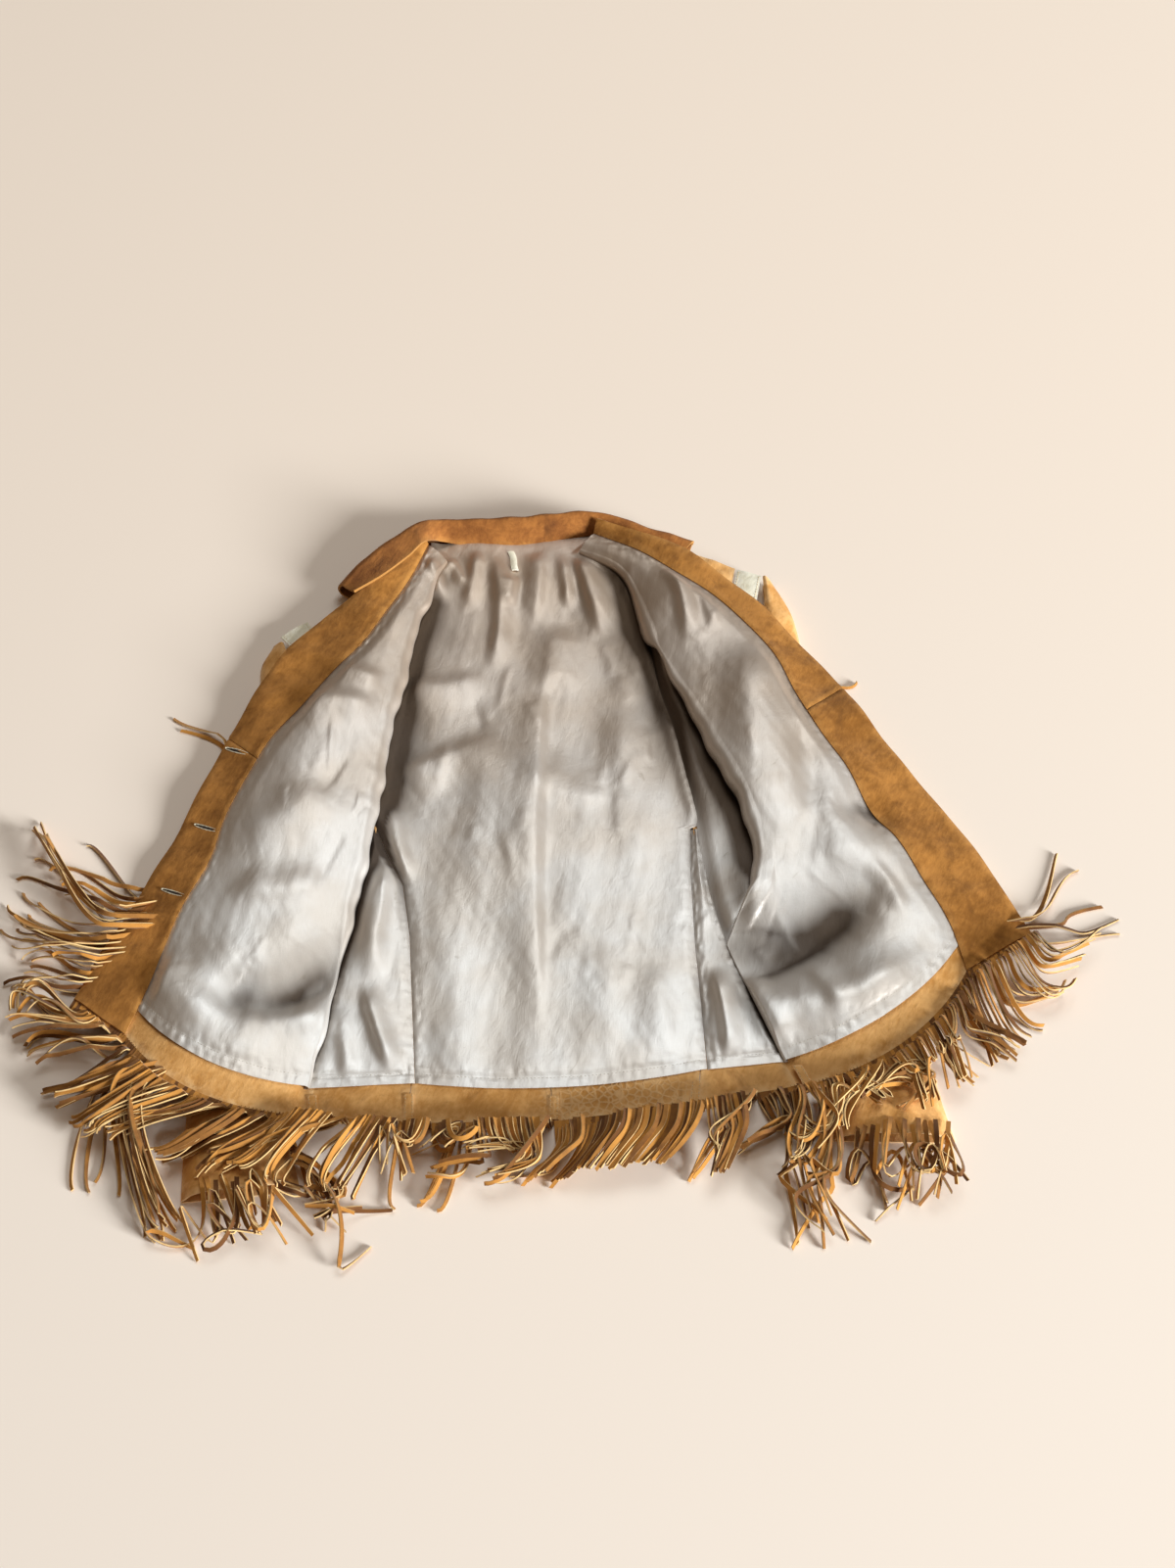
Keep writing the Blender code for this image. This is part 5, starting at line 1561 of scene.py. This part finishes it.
@dataclass
class Fringe:
    """Cut strands of hem and sleeves, laid one after another so that they lie on each other.

    Its hem runs from the right front's corner to the left one's, its heading is the direction
    in which strands leave each point of it, and its cuffs are the tops of the sleeves.
    """

    pattern: Pattern
    hem: Array
    heading: Array
    cuffs: Sequence[Array]
    points: int = 26
    pitch: float = 3.0
    slope: float = 0.42
    clear: float = 0.12
    lock: tuple = (3, 9)
    hidden_top: float = 3.0
    free: float = 9.0
    tallest: float = 21.0

    def __post_init__(self) -> None:
        """Starts with nothing laid but the cuffs."""
        self.ground = pressed(self.cuffs)
        self.draw = np.random.default_rng(7)
        self.groups: dict = {}

    def path(self, start: Array, way: Array, tip: Array, bow: float, length: float) -> Array:
        """Plan line of one strand.

        Args:
            start: where it leaves the hide.
            way: unit direction in which it leaves.
            tip: where it should end.
            bow: turn at its end, in degrees.
            length: its length.

        Returns:
            Evenly spaced plan points.
        """
        chord = tip - start
        size = np.linalg.norm(chord)
        if size > 0.97 * length:
            chord, size = chord * 0.97 * length / size, 0.97 * length
        turn = math.radians(bow)
        ahead = np.array((chord[0] * math.cos(turn) - chord[1] * math.sin(turn),
                          chord[0] * math.sin(turn) + chord[1] * math.cos(turn))) / size
        t = np.linspace(0.0, 1.0, 60)[:, None]
        low, high = 0.2 * size, 5.0 * length
        for _ in range(12):
            pull = (low + high) / 2.0
            line = (start + ((t - 2) * t * t + t) * way * pull + (3 - 2 * t) * t * t * chord
                    + (t - 1) * t * t * ahead * pull)
            total = np.linalg.norm(np.diff(line, axis=0), axis=1).sum()
            low, high = (pull, high) if total < length else (low, pull)
        return along(line, np.linspace(0.0, 1.0, self.points))

    def lay(self, group: str, plan: Array, root_z: float, free: float, hidden: int = 0) -> None:
        """Lays one strand on what is there already.

        Args:
            group: the fringe piece that it belongs to.
            plan: its plan line.
            root_z: height at which it leaves the hide.
            free: length at its root that keeps the hide's height.
            hidden: how many of its first points lie under a front.
        """
        reach = line_reach(plan)
        ahead = unit(np.gradient(plan, axis=0))
        side = np.stack((-ahead[:, 1], ahead[:, 0]), -1)
        bend = np.abs(np.diff(np.unwrap(np.arctan2(ahead[:, 1], ahead[:, 0])))).sum()
        most = math.radians(min(62.0, 8.0 + 62.0 * smooth(bend / 2.2))) * self.draw.choice((-1.0, 1.0))
        most *= self.draw.uniform(0.7, 1.05)
        roll = most * smooth(reach / reach[-1] * 3.2) + 0.25 * np.sin(reach / self.draw.uniform(14, 30))
        roll *= smooth(reach / 12.0)
        wide, tall = np.abs(np.cos(roll)), np.abs(np.sin(roll))
        half_width = (STRAND_WIDTH * wide + STRAND_THICKNESS * tall) / 2.0
        half_height = (STRAND_WIDTH * tall + STRAND_THICKNESS * wide) / 2.0
        under = np.zeros(len(plan))
        for share in (-1.0, -0.5, 0.0, 0.5, 1.0):
            spot = plan + side * (half_width * share)[:, None]
            under = np.maximum(under, self.ground.at(spot[:, 0], spot[:, 1]))
        z = np.minimum(under, self.tallest) + half_height + self.clear
        z[:hidden] = np.minimum(z[:hidden], self.hidden_top)
        z = np.where(reach < free, root_z, z)
        arch = self.draw.uniform(0.0, 1.0) ** 3 * 5.0
        z = z + arch * np.sin(np.pi * reach / reach[-1]) ** 2 * (reach > free)
        floor = z.copy()
        for order, step in ((range(1, len(z)), 1), (range(len(z) - 2, -1, -1), -1)):
            for k in order:
                z[k] = max(z[k], z[k - step] - self.slope * abs(reach[k] - reach[k - step]))
        for _ in range(6):
            z[1:-1] = np.maximum((z[:-2] + 2.0 * z[1:-1] + z[2:]) / 4.0, floor[1:-1])
        z[reach < free] = root_z
        bare = max(hidden, 2)
        for share in (-0.9, -0.3, 0.3, 0.9):
            top = raised(plan + side * (half_width * share)[:, None], z + half_height)[bare:]
            for fine in np.linspace(0.0, 1.0, 4)[:-1]:
                spot = top[:-1] * (1 - fine) + top[1:] * fine
                np.maximum.at(self.ground.grid, self.ground.cells(spot[:, 0], spot[:, 1]), spot[:, 2])
        self.twist(group, raised(plan, z), roll, 1.0 - 0.25 * smooth(reach / reach[-1] * 3 - 2))

    def twist(self, group: str, middle: Array, roll: Array, taper: Array) -> None:
        """Gives a laid strand its width, thickness, twist and slanting tip.

        Args:
            group: the fringe piece that it belongs to.
            middle: its middle line.
            roll: its turn about that line, in radians.
            taper: share of its full width.
        """
        ahead = unit(np.gradient(middle, axis=0))
        flatwise = unit(np.cross(ahead, UP))
        upwise = np.cross(flatwise, ahead)
        turn, rise = np.cos(roll)[:, None], np.sin(roll)[:, None]
        across = (flatwise * turn + upwise * rise) * taper[:, None] * STRAND_WIDTH / 2
        through = (upwise * turn - flatwise * rise) * STRAND_THICKNESS / 2
        ring = np.stack([middle + sx * across + sy * through
                         for sx, sy in ((-1, -1), (1, -1), (1, 1), (-1, 1))], 1)
        ring[-1, 1:3] += ahead[-1] * self.draw.uniform(-1.5, 1.8)
        self.groups.setdefault(group, []).append((ring.reshape(-1, 3), self.draw.uniform(0.0, 1.0)))

    def lay_hem(self) -> None:
        """Lays the hem's fringe, run after run."""
        reach = line_reach(self.hem)
        both = np.concatenate((self.hem, self.heading), 1)
        jobs = []
        for run in HEM_RUNS:
            number = max(int(round((run.last - run.first) * reach[-1] / self.pitch)), 1)
            for k in range(number):
                share = (k + 0.5) / number
                jobs.append((run, share, run.first + (run.last - run.first) * share))
        locks, first = [], 0
        while first < len(jobs):
            size = int(self.draw.integers(*self.lock))
            drift, turn = self.draw.normal(0.0, 1.0, 2), self.draw.normal(0.0, 1.0)
            locks.append([(*job, drift, turn) for job in jobs[first:first + size]])
            first += size
        calm = [lock for lock in locks if lock[0][0].stray <= 2]
        wild = [lock for lock in locks if lock[0][0].stray > 2]
        self.draw.shuffle(wild)
        for run, share, place, drift, turn in [job for lock in calm + wild for job in lock]:
            spot = np.array([np.interp(place * reach[-1], reach, column) for column in both.T])
            way = unit(spot[3:5])
            tip = np.array((run.x0 + (run.x1 - run.x0) * share, run.y0 + (run.y1 - run.y0) * share))
            tip = tip + run.stray * (drift + 0.22 * self.draw.normal(0.0, 1.0, 2))
            bow = run.bow + (0.5 + 3.0 * run.stray) * (turn + 0.2 * self.draw.normal())
            length = HEM_LENGTH * self.draw.uniform(0.93, 1.03) * (0.86 if run.stray <= 2 else 1.0)
            plan = self.path(spot[:2] - way * 1.5, way, tip, bow, length)
            group = next(s.name for s in STRETCHES if place <= s.last)
            self.lay(group, plan, spot[2], self.free)

    def lay_sleeves(self) -> None:
        """Lays the sleeves' fringe, whose roots are hidden under the fronts."""
        for run in SLEEVE_RUNS:
            for k in range(run.count):
                share = (k + 0.5) / run.count + self.draw.uniform(-0.3, 0.3) / run.count
                table = np.array(run[2:14], float).reshape(3, 2, 2)
                start, way, tip = table[:, 0] + (table[:, 1] - table[:, 0]) * share
                way = way + self.draw.normal(0.0, 1.5, 2)
                tip = tip + self.draw.normal(0.0, run.stray, 2)
                first = way - start
                near = np.linalg.norm(first)
                length = max(SLEEVE_LENGTH * self.draw.uniform(0.9, 1.02) - near,
                             1.04 * np.linalg.norm(tip - way))
                bow = run.bow + self.draw.normal(0.0, 26.0)
                tail = self.path(way, first / near, tip, bow, length)
                hidden = max(int(near / 8.0), 2)
                head = start + first * np.linspace(0.0, 1.0, hidden + 1)[:-1, None]
                self.lay(f"{run.side}_sleeve_fringe", np.concatenate((head, tail)), 2.2, 0.0, hidden)

    def build(self) -> None:
        """Makes one joined piece for each stretch of fringe."""
        self.lay_sleeves()
        self.lay_hem()
        nodes = {stretch.name: stretch.node for stretch in STRETCHES}
        nodes |= {f"{side.word}_sleeve_fringe": f"sleeve_fringe_{side.word}" for side in Side}
        for name, strands in self.groups.items():
            faces, cut, start = [], [], 0
            for ring, _ in strands:
                sides = tube(len(ring) // 4, 4, start)
                end = start + len(ring)
                faces += sides + [(start + 3, start + 2, start + 1, start), tuple(range(end - 4, end))]
                cut += [float(k % 2) for k in range(len(sides))] + [1.0, 1.0]
                start = end
            tone = [shade for ring, shade in strands for _ in ring]
            self.pattern.piece(name, np.concatenate([ring for ring, _ in strands]), faces, FRINGE_HIDE,
                               [nodes[name]], {"cut": cut, "tone": tone}, STRAND_CREASE)


# ======== sewing
SEAM_LAPS = (((-222, -322), (-219, -344)), ((-144, -321), (-143, -347)), ((-27, -323), (-27, -345)),
             ((88, -309), (86, -331)), ((170, -296), (178, -314)))
BUTTONHOLES = tabled(Point, ((-308, 24), (-328, -60), (-350, -128)))
# The lips' section: how far out from the slit and how high above the facing each ring lies.
LIP_RINGS = ((0.0, -0.5), (0.3, 0.4), (0.6, 0.42), (0.9, -0.2))


@dataclass
class Sewing:
    """Lapped hem seams, rows of stitches and the buttonholes, on the lattices of all pieces."""

    pattern: Pattern
    tops: Relief
    left: dict
    right: dict
    body: dict
    lap_width: float = 8.0
    lap_wall: float = 0.7
    hole_way: tuple = (0.906, -0.423)            # along the slits; across them is square to it

    def laps(self) -> None:
        """Makes a narrow lapped strip with two rows of stitches on each seam of the hem."""
        routes = []
        for number, lap in enumerate(SEAM_LAPS, 1):
            t = np.linspace(-1.0, 1.0, 13)
            centre = along(lap, np.linspace(0.0, 1.0, 30))
            plan = widened_line(centre, self.lap_width, t)
            height = averaged(self.tops.at(plan[..., 0], plan[..., 1]).max(axis=1), 7)[:, None]
            lattice = raised(plan, height + self.lap_wall / 2 + 0.1 + 0.5 * (1.0 - t ** 2)[None, :])
            self.pattern.wall(f"hem_seam_{number}", lattice, self.lap_wall, SHELL, rim=1.5)
            face = lattice + normals(lattice) * (self.lap_wall / 2 + 0.05)
            routes += [face[:, 2], face[:, -3]]
        self.pattern.stitches("hem_seam_stitches", routes, PALE_THREAD, 2.9, 2.1, 0.26)

    def lining_hem(self) -> None:
        """Sews the lining's turned hem."""
        routes = []
        for lattice in (self.left["lining"][:, 31:], self.right["lining"][:, 31:], self.body["cloth"],
                        self.body["cloth_left"], self.body["cloth_right"]):
            away = row_reach(lattice, 0)
            middle = lattice.shape[1] // 2
            row = int(np.argmin(np.abs(away[-1, middle] - away[:, middle] - HEM_TURN)))
            routes.append(lattice[row, 1:-2] + UP * (LINING / 2 + 0.08))
        self.pattern.stitches("lining_hem_stitches", routes, GREY_THREAD, 3.1, 1.9, 0.17)

    def buttonholes(self) -> None:
        """Makes the three slits of the right facing, each with its two pale lips and a dark sheet of painted
        shadow.
        """
        top = pressed((self.right["upper"], self.right["lower"]))
        turns = np.linspace(0.0, math.tau, 49)[:-1]
        count = len(turns)
        way = np.cos(turns)[:, None] * np.array(self.hole_way)
        side = np.sin(turns)[:, None] * np.array((-self.hole_way[1], self.hole_way[0]))
        out = unit(way * 0.1 + side)
        for number, slit in enumerate(BUTTONHOLES, 1):
            around = np.array(slit) + 11.5 * way + 1.15 * side
            z = top.at(around[:, 0], around[:, 1]) + FACING / 2
            z = np.full_like(z, z.mean()) * 0.3 + z * 0.7
            points = np.concatenate([raised(around + out * reach, z + rise) for reach, rise in LIP_RINGS])
            faces = tube(len(LIP_RINGS), count)
            last = len(points) - count
            faces += [(last + k, last + (k + 1) % count, (k + 1) % count, k) for k in range(count)]
            self.pattern.piece(f"buttonhole_lips_{number}", points, faces, CREAM, sharp=WALL_CREASE)
            # a dark sheet in the slit: painted shadow
            bed = raised(np.array(slit) + 11.2 * way + 1.0 * side, z + 0.06)
            self.pattern.piece(f"buttonhole_slit_{number}", bed, [range(count)], PAINTED_SLIT_SHADOW)

    def build(self) -> None:
        """Sews everything."""
        self.laps()
        self.lining_hem()
        self.buttonholes()


# ======== stage
@dataclass(frozen=True)
class Studio:
    """Pale ground, soft light and the camera."""

    camera_place: tuple = (0.015, -1.443, 1.9096)
    camera_tilt: float = 38.5
    lens: float = 63.8
    ground: float = 8.0

    def light(self, name: str, place: tuple, size: float, power: float, colour: tuple) -> None:
        """Adds one square soft light that faces the jacket's middle.

        Args:
            name: the light's name.
            place: where it stands.
            size: length of its side.
            power: watts.
            colour: its colour.
        """
        data = bpy.data.lights.new(name, "AREA")
        data.size, data.energy, data.color = size, power, colour
        made = placed_in_scene(name, data)
        made.location = place
        x, y, z = place
        made.rotation_euler = (math.atan2(math.hypot(x, y), z), 0.0, math.atan2(x, -y))

    def build(self) -> None:
        """Makes the ground, the lights, the surroundings and the camera."""
        half = self.ground / 2
        corners = [(-half, -half, 0), (half, -half, 0), (half, half, 0), (-half, half, 0)]
        shape("ground", corners, [range(4)], GROUND)
        self.light("daylight", (8.0, -5.2, 2.9), 3.1, 2080.0, (0.93, 0.97, 1.0))
        self.light("overhead", (1.2, 2.5, 5.6), 3.6, 130.0, (0.86, 0.94, 1.0))
        scene = bpy.context.scene
        scene.world = bpy.data.worlds.new("soft_room")
        scene.world.use_nodes = True
        room = scene.world.node_tree.nodes["Background"].inputs
        room["Color"].default_value, room["Strength"].default_value = (1.0, 0.76, 0.54, 1.0), 0.17
        scene.view_settings.view_transform, scene.view_settings.look = "Standard", "None"
        data = bpy.data.cameras.new("camera")
        data.lens, data.sensor_width = self.lens, 36.0
        scene.camera = placed_in_scene("camera", data)
        scene.camera.location = self.camera_place
        scene.camera.rotation_euler = (math.radians(self.camera_tilt), 0.0, 0.0)


def hem_line(left: dict, right: dict, body: dict) -> tuple:
    """The whole hem from the right front's corner to the left one's.

    Args:
        left: the left front's lattices.
        right: the right front's lattices.
        body: the body's lattices.

    Returns:
        The hem's points, and the plan direction in which fringe leaves each.
    """
    parts = [right["hide"][:, ::-1], body["side_right"][:, ::-1], body["back_right"][:, ::-1],
             body["back_left"], body["side_left"], left["hide"]]
    points = np.concatenate([part[-1] for part in parts])
    ways = unit(np.concatenate([part[-1, :, :2] - part[-4, :, :2] for part in parts]))
    keep = np.diff(line_reach(points), prepend=-1.0) > 0.2
    return points[keep], np.stack([averaged(column, 13) for column in ways[keep].T], -1)


# Flat size of each piece of hide or cloth as it was cut: metres and square metres, how it is
# held, what it lies on, and the separate pieces sewn to it.
Cut = namedtuple("Cut", "piece width length area rests_on sewn_on held", defaults=("", "", "laid"))
CUTS = tabled(Cut, (
    ("left_front_hide", 0.268, 0.636, 0.1055, "left_sleeve_upper",
        "left_front_fringe horn_button_1 horn_button_2 horn_button_3"),
    ("left_front_lining", 0.214, 0.627, 0.0869, "left_front_hide"),
    ("left_facing_upper", 0.050, 0.303, 0.0085, "left_front_hide"),
    ("left_facing_lower", 0.074, 0.300, 0.0167, "left_front_hide"),
    ("right_front_hide", 0.240, 0.624, 0.0920, "right_sleeve_upper", "right_front_fringe"),
    ("right_front_lining", 0.186, 0.600, 0.0713, "right_front_hide"),
    ("right_facing_upper", 0.053, 0.297, 0.0116, "right_front_hide",
        "buttonhole_lips_1 buttonhole_slit_1"),
    ("right_facing_lower", 0.060, 0.296, 0.0129, "right_front_hide",
        "buttonhole_lips_2 buttonhole_slit_2 buttonhole_lips_3 buttonhole_slit_3"),
    ("left_back_hide", 0.238, 0.732, 0.0946, "",
        "left_back_fringe hem_seam_4 hem_seam_5 hem_seam_stitches"),
    ("right_back_hide", 0.186, 0.682, 0.0790, "", "right_back_fringe hem_seam_1 hem_seam_2 hem_seam_3"),
    ("left_side_hide", 0.083, 0.276, 0.0088, "", "left_side_fringe"),
    ("right_side_hide", 0.084, 0.299, 0.0156, "", "right_side_fringe"),
    ("back_lining", 0.283, 0.629, 0.1410, "left_back_hide right_back_hide",
        "hanger_strip lining_hem_stitches"),
    ("left_side_lining", 0.065, 0.250, 0.0078, "left_side_hide"),
    ("right_side_lining", 0.088, 0.278, 0.0150, "right_side_hide"),
    ("left_sleeve_upper", 0.125, 0.623, 0.0563, "left_sleeve_under", "left_sleeve_fringe"),
    ("left_sleeve_under", 0.116, 0.620, 0.0523),
    ("right_sleeve_upper", 0.111, 0.593, 0.0512, "right_sleeve_under", "right_sleeve_fringe"),
    ("right_sleeve_under", 0.105, 0.588, 0.0482),
    ("collar_roll", 0.097, 0.366, 0.0248, "right_facing_upper left_back_hide", "", "folded"),
    ("left_shoulder", 0.057, 0.078, 0.0029, "left_back_hide"),
    ("left_shoulder_band", 0.057, 0.024, 0.0013, "left_sleeve_upper", "left_band_stitches"),
    ("right_shoulder", 0.026, 0.045, 0.0010, "right_back_hide"),
    ("right_shoulder_band", 0.033, 0.033, 0.0010, "right_sleeve_upper", "right_band_stitches")))


ROOF_START, ROOF_REACH, CUFF_ROWS = 60.0, 8.0, 70  # roof over the sleeves, rows that fringe may touch
# Places of the buttons down the front, as shares of it above its hem band, and in from its edge.
BUTTON_SHARES, BUTTON_INSET = (0.52, 0.66, 0.80), 16.0


def buttons(pattern: Pattern, hide: Array) -> list:
    """The three buttons on the underside of the left front.

    Args:
        pattern: what places the pieces.
        hide: the left front's hide.

    Returns:
        The buttons, from the top.
    """
    up, made = normals(hide), []
    for number, share in enumerate(BUTTON_SHARES, 1):
        row = int(round(share * (1.0 - HEM_BAND) * (len(hide) - 1)))
        inward = unit(hide[row, -3] - hide[row, -1])
        spot = hide[row, -1] + inward * BUTTON_INSET - up[row, -3] * (LEATHER / 2 + 0.4)
        made.append(Button(pattern, number, spot, up[row, -3]))
    return made


def main() -> None:
    """Builds the jacket around its frame, sub-assembly after sub-assembly."""
    logging.basicConfig(level=logging.INFO, format="%(name)s: %(message)s")
    pattern, cloth = Pattern(), LiningCloth()
    fronts = {Side.LEFT: Front(pattern, cloth, Side.LEFT, LEFT_FRONT, LEFT_HOLLOW),
              Side.RIGHT: Front(pattern, cloth, Side.RIGHT, RIGHT_FRONT, RIGHT_HOLLOW)}
    left, right = (front.build() for front in fronts.values())
    body = Body(pattern, cloth, fronts).build()
    linings = [body[name] for name in ("cloth", "cloth_left", "cloth_right")]
    # painted shade for the lining's hollow places, written on each lining piece
    painted_shade = Hollows(pattern, [front[name] for front in (left, right)
                                for name in ("lining", "upper", "lower")] + linings)
    for piece in (left["cloth"], right["cloth"], *body["pieces"]):
        painted_shade.mark(piece)
    lift = UP * (LEATHER / 2)
    roof = Relief(ROOF_START, np.minimum)
    for front in (left, right):
        roof.press(front["hide"] - lift)
    roof = roof.widened(ROOF_REACH)
    sleeves = [Sleeve(pattern, side, arm, roof).build()
               for side, arm in ((Side.LEFT, LEFT_SLEEVE), (Side.RIGHT, RIGHT_SLEEVE))]
    Collar(pattern).build()
    Shoulder(pattern, Side.LEFT, LEFT_SHOULDER, LEFT_BAND).build()
    Shoulder(pattern, Side.RIGHT, RIGHT_SHOULDER, RIGHT_BAND).build()
    Loop(pattern, body["cloth"]).build()
    for button in buttons(pattern, left["hide"]):
        button.build()
    hem, heading = hem_line(left, right, body)
    Fringe(pattern, hem, heading, [top[-CUFF_ROWS:] + lift for top in sleeves]).build()
    hides = [left["hide"], right["hide"]]
    hides += [body[f"{part}_{side.word}"] for part in ("back", "side") for side in Side]
    Sewing(pattern, pressed([hide + lift for hide in hides]), left, right, body).build()
    Studio().build()


if __name__ == "__main__":
    main()
